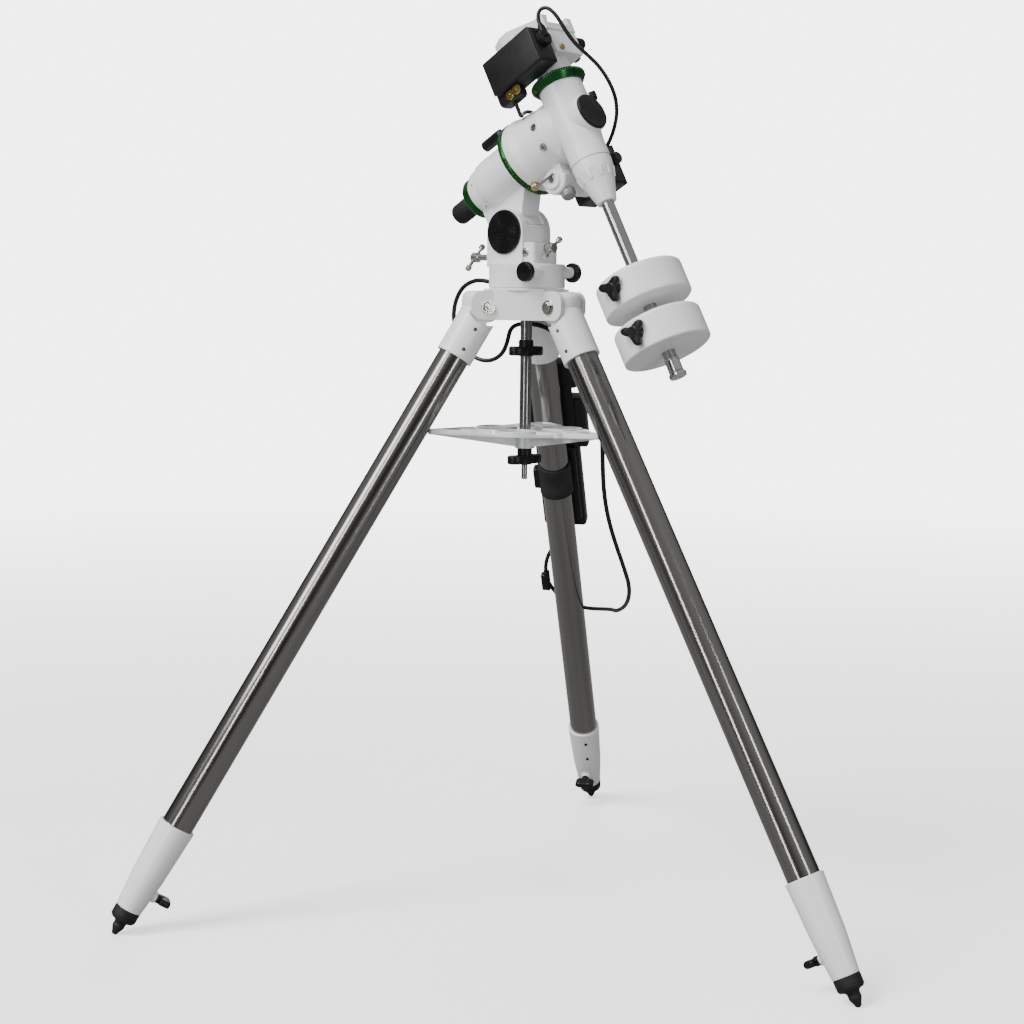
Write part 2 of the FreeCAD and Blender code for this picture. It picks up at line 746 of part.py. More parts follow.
def ra_housing():
    shell = about_polar(
        "housing_shell",
        [
            (0, dim.ra_lower_end),
            (30.5, dim.ra_lower_end),
            (32, -189),
            (35, -187),
            (36.5, -173),
            (dim.housing_radius - 0.7, -170),
            (dim.housing_radius, -163),
            (dim.housing_radius, dim.ra_ring_bottom),
            (0, dim.ra_ring_bottom),
        ],
        {1: 1, 7: 1},
    )
    pivot = (-160.4, -80.4)
    web = padded(
        "housing_web",
        "YZ_Plane",
        [(-193, -24), (-106, -24), (-106, -37), (-130.6, -70), (-130.6, pivot[1]), (-190.2, pivot[1]), (-193, -60)],
        -dim.ra_tongue_half,
        dim.ra_tongue_half,
    )
    tongue = cylinder(
        "housing_tongue", dim.ra_tongue_radius, 2 * dim.ra_tongue_half, (-dim.ra_tongue_half, *pivot), "x"
    )
    bump = cylinder("housing_bump", 4, 6, (0, -167, 37))
    lever_axis = Rotation(UP, Vector(0.47, 0, 0.883))
    lever_boss = turned_group(
        "housing_lever_boss", [cylinder("lever_boss", 6, 43 - 34, (0, -106.5, 34))], lever_axis
    )
    bore = cylinder("housing_bore", dim.ra_shaft_radius + dim.gap, 110, (0, -200, 0), "y")
    pin_bore = cylinder("housing_pin_bore", 6 + dim.gap, 60, (-30, *pivot), "x")
    solid = fuse("housing_solid", shell, web, tongue, bump, lever_boss)
    piece("ra_housing", cut("housing", solid, bore, pin_bore), AXES)


def ra_end_ring():
    ring = turned(
        "end_ring",
        [
            (dim.ra_bore_radius, dim.ra_lower_end - 13),
            (29, dim.ra_lower_end - 13),
            (31.5, dim.ra_lower_end - 9),
            (31.5, dim.ra_lower_end),
            (dim.ra_bore_radius, dim.ra_lower_end),
        ],
    )
    piece("ra_end_ring", ring, AXES, "y")


def polar_cap():
    face = dim.ra_lower_end - 13 - dim.gap
    cap = turned(
        "cap",
        [(0, face - 44.7), (dim.cap_radius, face - 44.7), (dim.cap_radius, face), (14, face), (14, face + 9), (0, face + 9)],
        {1: 4, 2: 1},
    )
    piece("polar_cap", cap, AXES, "y")


def ra_setting_ring():
    low = dim.ra_ring_bottom + dim.gap
    high = dim.ra_drum_bottom - dim.gap
    bore = dim.ra_shaft_radius + dim.gap
    ring = turned(
        "setting_ring",
        [(bore, low), (dim.setting_ring_radius, low), (dim.setting_ring_radius, high), (bore, high)],
        {1: 0.8, 2: 0.8},
    )
    piece("ra_setting_ring", ring, AXES, "y")


def ra_shaft():
    low = dim.ra_lower_end + 1
    shaft = turned(
        "shaft",
        [
            (dim.ra_bore_radius - 0.3, low),
            (dim.ra_shaft_radius, low),
            (dim.ra_shaft_radius, dim.ra_drum_top),
            (dim.ra_bore_radius - 0.3, dim.ra_drum_top),
        ],
    )
    piece("ra_shaft", shaft, AXES, "y")


def ra_drum():
    drum = about_polar(
        "drum_shell",
        [
            (0, dim.ra_drum_bottom),
            (dim.drum_radius, dim.ra_drum_bottom),
            (dim.drum_radius, -79.4),
            (50.7, -66.4),
            (dim.drum_top_radius, dim.ra_drum_top),
            (0, dim.ra_drum_top),
        ],
        {1: 1},
    )
    worm_block = box("worm_block", (-50, 20), (-75, -35), (-58, -30))
    worm_case = cylinder("worm_case", 20.5, 70, (-50, -55, -58.5), "x")
    worm_end = rounded(
        "worm_case_ends",
        worm_case,
        3,
        lambda edge: round_edge(20.5, EAST, -50)(edge) or round_edge(20.5, EAST, 20)(edge),
    )
    flange_room = cylinder("flange_room", 46.5 + dim.gap, 20, (0, dim.ra_drum_top, 0), "y")
    screw_axis = Rotation(UP, Vector(0.438, 0, -0.899))
    boss = turned_group("clutch_boss", [cylinder("clutch_boss_pin", 7, 14, (0, -84, 40.5))], screw_axis)
    bore = cylinder("drum_bore", dim.ra_shaft_radius, 60, (0, -95, 0), "y")
    solid = fuse("drum_solid", drum, worm_block, worm_end, boss)
    piece("ra_drum", cut("drum", solid, bore, flange_room), AXES)


def ra_motor_box():
    case = box("ra_case", (-94, -56), (-90, -20), (-78, -14))
    soft = rounded("ra_case_soft", case, 4, lambda edge: True)
    neck = cylinder("ra_case_neck", 14, 8, (-50, -55, -56), "-x")
    plug = cylinder("ra_case_plug", 9, 14, (-79, -22, -42), "y")
    plug_end = rounded("ra_case_plug_end", plug, 2.5, round_edge(9, NORTH, -8))
    piece("ra_motor_box", fuse("ra_case_solid", soft, neck, plug_end), AXES)


def ra_clutch_screw():
    screw = cylinder("clutch_screw", 6, 7, (0, -84, 54.8))
    lever = box("clutch_handle", (-1.5, 1.5), (-84, -46), (60, 62))
    radial = Rotation(UP, Vector(0.438, 0, -0.899))
    body = turned_group("clutch_place", [fuse("clutch_solid", screw, lever)], radial)
    piece("ra_clutch_screw", body, AXES)


def ra_clutch_lever():
    grip = cylinder("lever_grip", dim.lever_radius, 41, (0, -141.5, dim.lever_offset), "y")
    grip_top = rounded("lever_grip_top", grip, 7.6, round_edge(dim.lever_radius, NORTH, -100.5))
    grip_end = rounded("lever_grip_end", grip_top, 2, round_edge(dim.lever_radius, NORTH, -141.5))
    stem = cylinder("lever_stem", 5, dim.lever_offset - 43.3, (0, -106.5, 43.3))
    radial = Rotation(UP, Vector(0.47, 0, 0.883))
    piece("ra_clutch_lever", turned_group("lever_place", [fuse("lever", grip_end, stem)], radial), AXES)


# ---------------------------------------------------------------- declination axis

def screw_directions():
    return [Rotation(UP, Vector(math.sin(math.radians(a)), 0, math.cos(math.radians(a)))) for a in (78, 117)]


def dec_housing():
    bore = dim.dec_shaft_radius + dim.gap
    shell = turned(
        "dec_shell",
        [
            (0, dim.nose_end),
            (13.5, dim.nose_end),
            (27.3, -79),
            (27.8, -68),
            (28.3, -40),
            (30, -22),
            (dim.dec_body_radius, 35),
            (31, dim.dec_ring_bottom - dim.gap),
            (0, dim.dec_ring_bottom - dim.gap),
        ],
        {1: 1.5},
    )
    flange = about_polar(
        "dec_flange",
        [(0, dim.ra_drum_top), (46.5, dim.ra_drum_top), (46.5, -26), (33, -10), (0, -10)],
        {2: 2.5},
    )
    front = cylinder("dec_front", 27.5, 31.9, (0, 0, -3), "y")
    front_end = rounded("dec_front_end", front, 1, round_edge(27.5, NORTH, 31.9))
    tools = [
        cylinder("dec_bore", bore, 64 + 10, (0, 0, -10)),
        cylinder("nose_bore", dim.weight_shaft_radius, 28, (0, 0, dim.nose_end)),
        cylinder("front_bore", 20.3, 12, (0, 21, -3), "y"),
    ]
    seats = []
    for index, turn in enumerate(screw_directions()):
        seat = cylinder("screw_seat_%d" % index, 5.3, 12, (0, -34, 42.5))
        seats.append(turned_group("screw_seat_place_%d" % index, [seat], turn))
    seated_flange = cut("dec_seated_flange", flange, *seats)
    piece("dec_housing", cut("dec", fuse("dec_solid", shell, seated_flange, front_end), *tools), AXES)


def drum_screws():
    screws = []
    for index, turn in enumerate(screw_directions()):
        head = cylinder("screw_head_%d" % index, 5, 5, (0, -34, 42.5))
        socket = hexagon("screw_socket_%d" % index, 2.6, 3, (0, -34, 45))
        screws.append(turned_group("screw_%d" % index, [cut("screw_cut_%d" % index, head, socket)], turn))
    piece("drum_screws", together("screws", *screws), AXES)


def dec_front_cap():
    cap = turned(
        "front_cap",
        [(0, 22), (20, 22), (20, 31.9 + dim.gap), (26, 31.9 + dim.gap), (26, 36), (0, 36)],
        {4: 1.5},
    )
    placed = turned_group("front_cap_place", [cap], "y", (0, 0, -3))
    piece("dec_front_cap", placed, AXES)


def dec_ring():
    bore = dim.dec_shaft_radius + dim.gap
    ring = turned(
        "declination_ring",
        [
            (bore, dim.dec_ring_bottom),
            (33.3, dim.dec_ring_bottom),
            (39.2, 62),
            (39.2, dim.dec_ring_top),
            (bore, dim.dec_ring_top),
        ],
        {3: 0.8},
    )
    piece("dec_ring", ring, AXES)


def dec_head():
    low = dim.dec_ring_top + dim.gap
    column = turned(
        "head_column",
        [
            (0, 15),
            (dim.dec_shaft_radius, 15),
            (dim.dec_shaft_radius, low),
            (31, low),
            (31, low + 3),
            (dim.dec_head_radius, low + 6.4),
            (dim.dec_head_radius, dim.saddle_bottom),
            (0, dim.saddle_bottom),
        ],
        {4: 1.5},
    )
    table = box("head_table", (-34, 22), (-32, 24), (110, dim.saddle_bottom))
    bracket = box("head_bracket", (-34, 20), (1, 33), (92, dim.saddle_bottom))
    pad = box("head_pad", (18, 27), (-16, 16), (84, 114))
    tools = [
        cylinder("head_main_bore", 3.3, 30, (-36, 22, 118), "x"),
        cylinder("head_small_bore", 2.8, 30, (-36, 11, 103), "x"),
    ]
    piece("dec_head", cut("dec_top", fuse("dec_top_solid", column, table, bracket, pad), *tools), AXES)


def saddle():
    plate = padded(
        "saddle_plate",
        "XY_Plane",
        [(-36, -50), (38, -50), (48, -30), (48, -14), (40, -3), (24, 20), (24, 34), (-36, 34)],
        dim.saddle_bottom,
        dim.saddle_top,
    )
    middle = dim.channel_middle
    channel = padded(
        "saddle_channel",
        "XZ_Plane",
        [
            (middle - dim.channel_half, dim.channel_floor),
            (middle + dim.channel_half, dim.channel_floor),
            (middle + dim.channel_lip_half, dim.saddle_top + 1),
            (middle - dim.channel_lip_half, dim.saddle_top + 1),
        ],
        -60,
        60,
    )
    piece("saddle", cut("saddle_solid", plate, channel), AXES)


def saddle_knob(label, place, radius, length, screw_radius):
    grip = turned(label + "_grip", [(0, 0), (radius, 0), (radius, length), (0, length)], {2: 1.5})
    grip_place = turned_group(label + "_grip_place", [grip], "-x", (-35, *place))
    screw = cylinder(label + "_screw", screw_radius, 18, (-18, *place), "-x")
    stub = cylinder(label + "_stub", 3.6, 5, (-35 - length, *place), "-x")
    piece(label, fuse(label + "_solid", grip_place, screw, stub), AXES)


def dec_motor_box():
    case = box("dec_case", (27, 66), (-62, 34), (73, 126))
    soft = rounded("dec_case_soft", case, 4, lambda edge: True)
    bulge = box("dec_bulge", (31, 65), (-62, -28), (58, 80))
    bulge_soft = rounded("dec_bulge_soft", bulge, 7, lambda edge: edge.BoundBox.ZMin < 77)
    piece("dec_motor_box", fuse("dec_case_solid", soft, bulge_soft), AXES)


def dec_plug():
    body = cylinder("plug_body", 11.5, 9, (45, 34 + dim.gap, 106), "y")
    body_end = rounded("plug_body_end", body, 2, round_edge(11.5, NORTH, 43.3))
    neck = cylinder("plug_neck", 5.5, 14, (45, 40.3, 106))
    boot = cone("plug_boot", 5, 3.6, 6, (45, 40.3, 120))
    piece("dec_plug", fuse("plug", body_end, neck, boot), AXES)


def counterweight_shaft():
    shaft = turned(
        "weight_shaft",
        [
            (0, dim.weight_shaft_end - 18),
            (4, dim.weight_shaft_end - 18),
            (4, dim.weight_shaft_end),
            (dim.weight_shaft_radius, dim.weight_shaft_end),
            (dim.weight_shaft_radius, dim.nose_end + 28),
            (0, dim.nose_end + 28),
        ],
    )
    piece("counterweight_shaft", shaft, AXES)


def knob_frame(angle, place):
    """Radial frame at a place on the declination axis; angle from the polar axis toward east."""
    turn = math.radians(angle)
    return Placement(Vector(0, 0, place), Rotation(UP, Vector(math.sin(turn), math.cos(turn), 0)))


def counterweight(label, top, knob_angle):
    low = top - dim.weight_height
    bore = dim.weight_shaft_radius + dim.gap
    disc = turned(
        label + "_disc",
        [(bore, low), (dim.weight_radius, low), (dim.weight_radius, top), (bore, top)],
        {1: 3, 2: 6},
    )
    middle = (top - dim.weight_height * 0.45).value
    hole = cylinder(label + "_screw_hole", 4 + dim.gap, 70)
    hole_place = together(label + "_hole_place", hole)
    hole_place.Placement = knob_frame(knob_angle, middle)
    piece(label, cut(label + "_solid", disc, hole_place), AXES)


def weight_knob(label, top, knob_angle):
    middle = (top - dim.weight_height * 0.45).value
    base = dim.weight_radius + 0.8
    screw = cylinder(label + "_screw", 4, base - 10, (0, 0, 10))
    hub = cylinder(label + "_hub", 8, 11, (0, 0, base))
    lobes = []
    for index in range(3):
        arm = box("%s_arm_%d" % (label, index), (0, 19), (-3.6, 3.6), (base + 1.5, base + 10.5))
        end = rounded("%s_arm_end_%d" % (label, index), arm, 3, edge_along(UP, (EAST, 19)))
        lobes.append(turned_group("%s_lobe_%d" % (label, index), [end], Rotation(UP, 120 * index + 30)))
    body = fuse(label + "_solid", screw, hub, *lobes)
    piece(label, body, AXES.multiply(knob_frame(knob_angle, middle)))


def shaft_end_cap():
    top = dim.weight_shaft_end - dim.gap
    cap = turned(
        "end_cap",
        [
            (0, top - 27), (12, top - 27), (12, top - 22), (10, top - 20),
            (10, top), (4.3, top), (4.3, top - 19), (0, top - 19),
        ],
        {1: 1, 2: 0.8},
    )
    piece("shaft_end_cap", cap, AXES)


# ---------------------------------------------------------------- hand controller

def hand_controller(frame):
    head = box("handset_head", (-40, 50), (27.5, 53), (-268, -178))
    head_soft = rounded("handset_head_soft", head, 6, lambda edge: True)
    grip = box("handset_grip", (-34, 34), (27.5, 50), (-420, -250))
    grip_soft = rounded("handset_grip_soft", grip, 6, lambda edge: True)
    holes = [
        cylinder("key_hole_%d" % index, 4, 8, (x, 47, z), "y") for index, (x, z) in enumerate(key_places())
    ]
    screen = box("handset_screen", (-26, 36), (51.5, 60), (-224, -192))
    piece("hand_controller", cut("handset", fuse("handset_solid", head_soft, grip_soft), screen, *holes), frame)


def key_places():
    return [(column * 17, -290 - row * 17) for row in range(6) for column in (-1, 0, 1)]


def controller_keys(frame):
    keys = [cylinder("key_%d" % index, 3.7, 3.5, (x, 49, z), "y") for index, (x, z) in enumerate(key_places())]
    piece("controller_keys", together("keys", *keys), frame)


def controller_bracket(frame):
    strap = cylinder("strap", dim.tube_radius + 3, 51, (0, 0, -329))
    clasp = box("strap_clasp", (-33, -18), (-8, 8), (-322, -286))
    clasp_soft = rounded("strap_clasp_soft", clasp, 3, edge_along(UP))
    back = box("strap_back", (-30, 30), (18, 27.5), (-400, -262))
    tube = cylinder("strap_tube", dim.tube_radius, 200, (0, 0, -430))
    piece("controller_bracket", cut("bracket", fuse("bracket_solid", strap, clasp_soft, back), tube), frame)


# ---------------------------------------------------------------- cords

def axes_point(x, along, up):
    return AXES.multVec(Vector(x, along, up))


def tripod_point(x, y, z):
    return TRIPOD.multVec(Vector(x, y, z))


def cord(label, route, radius):
    """A tube along straight runs joined by tangent arcs as large as the runs allow."""
    start = route[0]
    edges = []
    turns = []
    for before, corner, after in zip(route, route[1:], route[2:]):
        arriving = corner - before
        leaving = after - corner
        turn = arriving.getAngle(leaving)
        setback = 0.45 * min(arriving.Length, leaving.Length)
        turns.append(setback / math.tan(turn / 2))
        first = corner - arriving.normalize() * setback
        last = corner + leaving.normalize() * setback
        sideways = (leaving - arriving).normalize()
        middle = corner + sideways * turns[-1] * (1 / math.cos(turn / 2) - 1)
        edges.append(Part.LineSegment(start, first).toShape())
        edges.append(Part.Arc(first, middle, last).toShape())
        start = last
    edges.append(Part.LineSegment(start, route[-1]).toShape())
    path = Part.Wire(edges)
    length = path.Length
    section = Part.Wire([Part.Circle(route[0], route[1] - route[0], radius).toShape()])
    tube = doc.addObject("Part::Feature", label)
    tube.Shape = path.makePipeShell([section], True, False)
    tube.Label = label
    pieces.append(tube)
    expected = math.pi * radius ** 2 * length
    print("%s: length %.0f, smallest radius %.1f, volume / expected %.4f" % (
        label, length, min(turns), tube.Shape.Volume / expected))


def controller_cord():
    route = [
        (0, -72, 890), (1, -88, 893), (3, -105, 891), (6, -122, 882), (8, -134, 862), (8, -138, 836),
        (6, -129, 809), (3, -112, 788), (-1, -92, 777), (-6, -71, 777), (-11, -55, 788), (-13, -48, 806),
        (-14, -44, 825), (-22, -31, 832), (-34, -14, 831), (-41, 6, 825), (-41, 26, 813), (-38, 47, 798),
        (-34, 68, 780), (-30, 90, 757),
        (-28, 108, 730), (-28, 118, 699), (-32, 117, 664), (-42, 110, 630), (-60, 98, 593), (-85, 86, 554),
        (-116, 75, 514), (-150, 63, 476), (-183, 48, 441), (-208, 23, 411),
    ]
    behind_leg = [
        (95, -80, -500), (75, -35, -535), (48, 5, -570), (22, 28, -590), (-5, 35, -589), (-28, 37, -573),
        (-42, 37, -546), (-44, 37, -515), (-35, 38, -485), (-17, 39, -461), (-8, 39, -438), (-8, 39, -420),
    ]
    west = leg_frame(LEGS["west"])
    points = [tripod_point(*place) for place in route] + [west.multVec(Vector(*place)) for place in behind_leg]
    cord("controller_cord", points, dim.cord_radius.value)


def dec_lead():
    route = [
        (45, 40.3, 126), (45, 40.3, 137), (42, 48, 146), (38, 57, 143), (35, 62, 131), (31, 63, 118),
        (26, 62, 104), (18, 62, 86), (7, 65, 68), (-6, 67.5, 50), (-19, 65, 30), (-32, 57, 10),
        (-44, 41, -6), (-53, 21, -17), (-60, 2, -24), (-64, -12, -27), (-64, -20, -27),
    ]
    cord("dec_lead", [axes_point(*place) for place in route], dim.lead_radius.value)


def motor_lead():
    route = [
        (45, -47, 58), (45, -47, 48), (39, -52, 41), (29, -58, 44), (16, -63, 53), (2, -67, 60),
        (-13, -70, 62), (-28, -71, 55), (-42, -70, 43), (-54, -67, 29), (-63, -63, 14), (-69, -58, 0),
        (-69, -58, -14),
    ]
    cord("motor_lead", [axes_point(*place) for place in route], dim.lead_radius.value)


# ---------------------------------------------------------------- assembly

def build():
    tripod_hub()
    hub_bolts()
    for name, azimuth in LEGS.items():
        frame = leg_frame(azimuth)
        leg_head(name, frame)
        leg_tube(name, frame)
        leg_clamp(name, frame)
        inner_leg(name, frame)
        lock_knob(name, frame)
    centre_rod()
    wing_knob("rod_knob", dim.rod_knob_bottom, dim.rod_radius + dim.gap)
    spreader_tray()
    wing_knob("tray_knob", dim.tray_knob_bottom, dim.rod_thin_radius + dim.gap)
    cord_gland()
    mount_base()
    azimuth_knob("azimuth_knob_east", 1, "x")
    azimuth_knob("azimuth_knob_west", -1, "-x")
    altitude_axle()
    altitude_bolt("north_altitude_bolt", 9.4, 51, dim.north_bolt_height, 38, 141)
    altitude_bolt("south_altitude_bolt", -36, -106, dim.south_bolt_height, 42.7, -47.7)
    ra_housing()
    ra_end_ring()
    polar_cap()
    ra_setting_ring()
    ra_shaft()
    ra_drum()
    ra_motor_box()
    ra_clutch_screw()
    ra_clutch_lever()
    dec_housing()
    drum_screws()
    dec_front_cap()
    dec_ring()
    dec_head()
    saddle()
    saddle_knob("saddle_main_knob", (22, 118), 9, 21, 3)
    saddle_knob("saddle_small_knob", (11, 103), 7.5, 14, 2.5)
    dec_motor_box()
    dec_plug()
    counterweight_shaft()
    for level, top, angle in (("upper", dim.upper_weight_top, 89), ("lower", dim.lower_weight_top, 83)):
        counterweight(level + "_counterweight", top, angle)
        weight_knob(level + "_weight_knob", top, angle)
    shaft_end_cap()
    west = leg_frame(LEGS["west"])
    hand_controller(west)
    controller_keys(west)
    controller_bracket(west)
    controller_cord()
    dec_lead()
    motor_lead()


def check_and_write():
    doc.recompute()
    for item in doc.Objects:
        if "Invalid" in item.State or "Error" in item.State:
            raise RuntimeError("%s failed: %s" % (item.Name, item.State))
    box_all = FreeCAD.BoundBox()
    for item in pieces:
        if item.Shape.isNull() or not item.Shape.isValid() or not item.Shape.Solids:
            raise RuntimeError(item.Label + " is not a valid solid")
        if not item.Label.endswith(("cord", "lead")):
            box_all.add(item.Shape.BoundBox)
    os.makedirs("parts", exist_ok=True)
    for item in pieces:
        item.Shape.exportStep("parts/%s.step" % item.Label)
    print("%d nodes" % len(pieces))
    print("box", box_all)


build()
check_and_write()
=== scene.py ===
import json
import math

import bmesh
import bpy
from mathutils import Matrix, Vector


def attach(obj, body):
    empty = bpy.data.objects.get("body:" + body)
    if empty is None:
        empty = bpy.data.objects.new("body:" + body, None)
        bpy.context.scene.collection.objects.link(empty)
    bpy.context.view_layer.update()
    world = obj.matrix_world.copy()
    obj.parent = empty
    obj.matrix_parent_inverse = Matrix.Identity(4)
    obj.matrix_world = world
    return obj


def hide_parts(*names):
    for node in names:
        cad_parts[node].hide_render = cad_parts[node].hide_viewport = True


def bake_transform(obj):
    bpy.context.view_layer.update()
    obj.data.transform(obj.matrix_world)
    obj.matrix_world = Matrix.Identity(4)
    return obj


# Looks for a German equatorial telescope mount on a folding tripod, built round its CAD frame.
# Metres, +Z up, +Y north, +X east. Lengths inside the working frames below are in millimetres.

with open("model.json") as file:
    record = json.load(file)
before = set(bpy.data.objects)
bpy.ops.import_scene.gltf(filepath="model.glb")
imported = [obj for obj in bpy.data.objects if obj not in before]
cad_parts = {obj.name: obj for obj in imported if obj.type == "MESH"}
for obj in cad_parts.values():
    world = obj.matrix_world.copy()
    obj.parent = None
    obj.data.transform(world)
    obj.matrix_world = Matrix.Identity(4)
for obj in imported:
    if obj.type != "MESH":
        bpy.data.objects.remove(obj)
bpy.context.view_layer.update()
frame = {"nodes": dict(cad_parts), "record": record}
nodes = frame["nodes"]
joints = {joint["name"]: joint for joint in frame["record"]["behaviour"]["joints"]}
LEGS = ("north", "east", "west")
MM = Matrix.Scale(0.001, 4)

# The camera: metres and degrees. It stands to the north-east and looks south-west and a little down.
CAMERA_PLACE = Vector((1.9123, 1.6187, 0.8706))
CAMERA_HEADING, CAMERA_PITCH, CAMERA_ROLL = 133, 4.70, 0.77
CAMERA_LENS = 64.62
CAMERA_SHIFT = -0.0635

# How bright the white background is to the camera.
BACKDROP_GLOW = 5.0

# Cords: metres.
CORD_RADIUS = 0.00325
LEAD_RADIUS = 0.00275

# Tripod frame: millimetres from the tripod's axis and the floor.
PIVOT_NORTH, PIVOT_HEIGHT = -17, 959.5
CHEEK_FACE = 29
AZIMUTH_KNOB_EAST, AZIMUTH_KNOB_NORTH, AZIMUTH_KNOB_HEIGHT = 44, 42, 904
KNOB_STUD_LENGTH = 33.2
TRAY_LOW, TRAY_HIGH = 676.5, 684

# Leg frames: millimetres from the hinge bolt.
LUG_HALF_WIDTH = 26
SPREAD_ANGLE = 30.9
LEG_TUBE_RADIUS = 22.3
LOCK_FACE, LOCK_HEIGHT = -26.2, -927
COLLAR_TOP = -955.8

# The declination joint's height above the crossing of the two axes: metres.
DEC_JOINT_HEIGHT = 0.09

# Axes frame: millimetres from that crossing, along one axis or the other.
RING_BORE, RING_LOW, RING_RADIUS, RING_MARK_EDGE = 22.4, -99.1, 55.9, -92.2
DEC_RING_MARK_EDGE = 65.2
CLUTCH_ALONG = -84
WEIGHT_TOPS = {"upper": -238, "lower": -306}
WEIGHT_KNOB_DROP = 20.7
POLAR_CAP_FACE = -208.7
SHAFT_CAP_TOP = -362.3
MARKS = 72


# ---------------------------------------------------------------- working frames

def plain_frame(side, along, up, origin):
    """Frame from its three axes and its origin, all in the same unit."""
    return Matrix.Translation(origin) @ Matrix((side, along, up)).transposed().to_4x4()


def from_columns(side, along, up, origin):
    """Frame in millimetres whose origin is given in metres."""
    return plain_frame(side, along, up, origin) @ MM


def leg_frame(name):
    """Origin at the leg's hinge bolt, z up along the leg, y outward, x along the bolt."""
    up = -Vector(joints[name + "_leg_extension"]["axis"])
    fold = joints[name + "_leg_fold"]
    side = -Vector(fold["axis"])
    return from_columns(side, up.cross(side), up, Vector(fold["pos_m"]))


def axes_frame():
    """Origin where the polar and declination axes cross, y up the polar axis, z up the declination axis."""
    polar = Vector(joints["right_ascension"]["axis"])
    declination = joints["declination"]
    up = Vector(declination["axis"])
    origin = Vector(declination["pos_m"]) - DEC_JOINT_HEIGHT * up
    return from_columns(Vector((1, 0, 0)), polar, up, origin)


AXES = axes_frame()
LEG = {name: leg_frame(name) for name in LEGS}
TRIPOD = Matrix.Translation(Vector(joints["azimuth"]["pos_m"]) * Vector((1, 1, 0))) @ MM


def toward(direction, at=(0, 0, 0)):
    """Local frame in millimetres whose z points along a direction."""
    turn = Vector(direction).to_track_quat("Z", "Y").to_matrix().to_4x4()
    return Matrix.Translation(Vector(at)) @ turn


# ---------------------------------------------------------------- camera, light and floor

def camera():
    data = bpy.data.cameras.new("camera")
    data.sensor_width = 36
    data.lens = CAMERA_LENS
    data.shift_y = CAMERA_SHIFT
    data.clip_end = 200
    obj = bpy.data.objects.new("camera", data)
    bpy.context.scene.collection.objects.link(obj)
    heading = math.radians(CAMERA_HEADING)
    pitch = math.radians(CAMERA_PITCH)
    roll = math.radians(CAMERA_ROLL)
    east = Vector((math.cos(heading), math.sin(heading), 0))
    level = Vector((-math.sin(heading), math.cos(heading), 0))
    forward = level * math.cos(pitch) - Vector((0, 0, math.sin(pitch)))
    above = east.cross(forward)
    right = east * math.cos(roll) + above * math.sin(roll)
    above = right.cross(forward)
    turn = Matrix((right, above, -forward)).transposed().to_4x4()
    obj.matrix_world = Matrix.Translation(CAMERA_PLACE) @ turn
    bpy.context.scene.camera = obj


def area_light(name, place, target, size, power):
    data = bpy.data.lights.new(name, "AREA")
    data.shape = "RECTANGLE"
    data.size, data.size_y = size
    data.energy = power
    obj = bpy.data.objects.new(name, data)
    bpy.context.scene.collection.objects.link(obj)
    place = Vector(place)
    turn = (Vector(target) - place).to_track_quat("-Z", "Y").to_matrix().to_4x4()
    obj.matrix_world = Matrix.Translation(place) @ turn


def studio():
    """A soft sun, four area lights, and a sky with a dark horizon that the camera sees as plain white."""
    middle = (0, -0.1, 0.7)
    toward_sun = Vector((1.05, -0.25, 1.35))
    sun = bpy.data.lights.new("sun", "SUN")
    sun.energy = 3.0
    sun.angle = math.radians(24)
    lamp = bpy.data.objects.new("sun", sun)
    bpy.context.scene.collection.objects.link(lamp)
    lamp.matrix_world = (-toward_sun).to_track_quat("-Z", "Y").to_matrix().to_4x4()
    area_light("key", (3.0, -0.9, 2.4), middle, (1.2, 1.6), 52)
    area_light("strip_left", (3.2, 0.4, 1.3), middle, (0.18, 2.6), 30)
    area_light("strip_right", (0.6, 3.3, 1.3), middle, (0.22, 2.6), 30)
    area_light("back", (-2.6, -2.2, 1.9), middle, (1.4, 1.8), 40)
    world = bpy.data.worlds.new("studio")
    bpy.context.scene.world = world
    world.use_nodes = True
    tree = world.node_tree
    tree.nodes.clear()
    place = tree.nodes.new("ShaderNodeTexCoord")
    split = tree.nodes.new("ShaderNodeSeparateXYZ")
    ramp = tree.nodes.new("ShaderNodeValToRGB")
    tree.links.new(place.outputs["Generated"], split.inputs[0])
    lift = tree.nodes.new("ShaderNodeMapRange")
    lift.inputs["From Min"].default_value = -1
    tree.links.new(split.outputs["Z"], lift.inputs["Value"])
    tree.links.new(lift.outputs[0], ramp.inputs[0])
    sky_levels = [(0.0, 0.5), (0.46, 0.4), (0.50, 0.10), (0.60, 0.08), (0.72, 0.55), (1.0, 0.9)]
    for index, (at, level) in enumerate(sky_levels):
        stop = ramp.color_ramp.elements[index] if index < 2 else ramp.color_ramp.elements.new(at)
        stop.position = at
        stop.color = (level, level, level * 1.01, 1)
    soft = tree.nodes.new("ShaderNodeBackground")
    soft.inputs["Strength"].default_value = 0.75
    tree.links.new(ramp.outputs[0], soft.inputs["Color"])
    clear = tree.nodes.new("ShaderNodeBackground")
    clear.inputs["Color"].default_value = (1, 1, 1, 1)
    clear.inputs["Strength"].default_value = BACKDROP_GLOW
    seen = tree.nodes.new("ShaderNodeLightPath")
    mix = tree.nodes.new("ShaderNodeMixShader")
    tree.links.new(seen.outputs["Is Camera Ray"], mix.inputs[0])
    tree.links.new(soft.outputs[0], mix.inputs[1])
    tree.links.new(clear.outputs[0], mix.inputs[2])
    out = tree.nodes.new("ShaderNodeOutputWorld")
    tree.links.new(mix.outputs[0], out.inputs[0])


# ---------------------------------------------------------------- materials

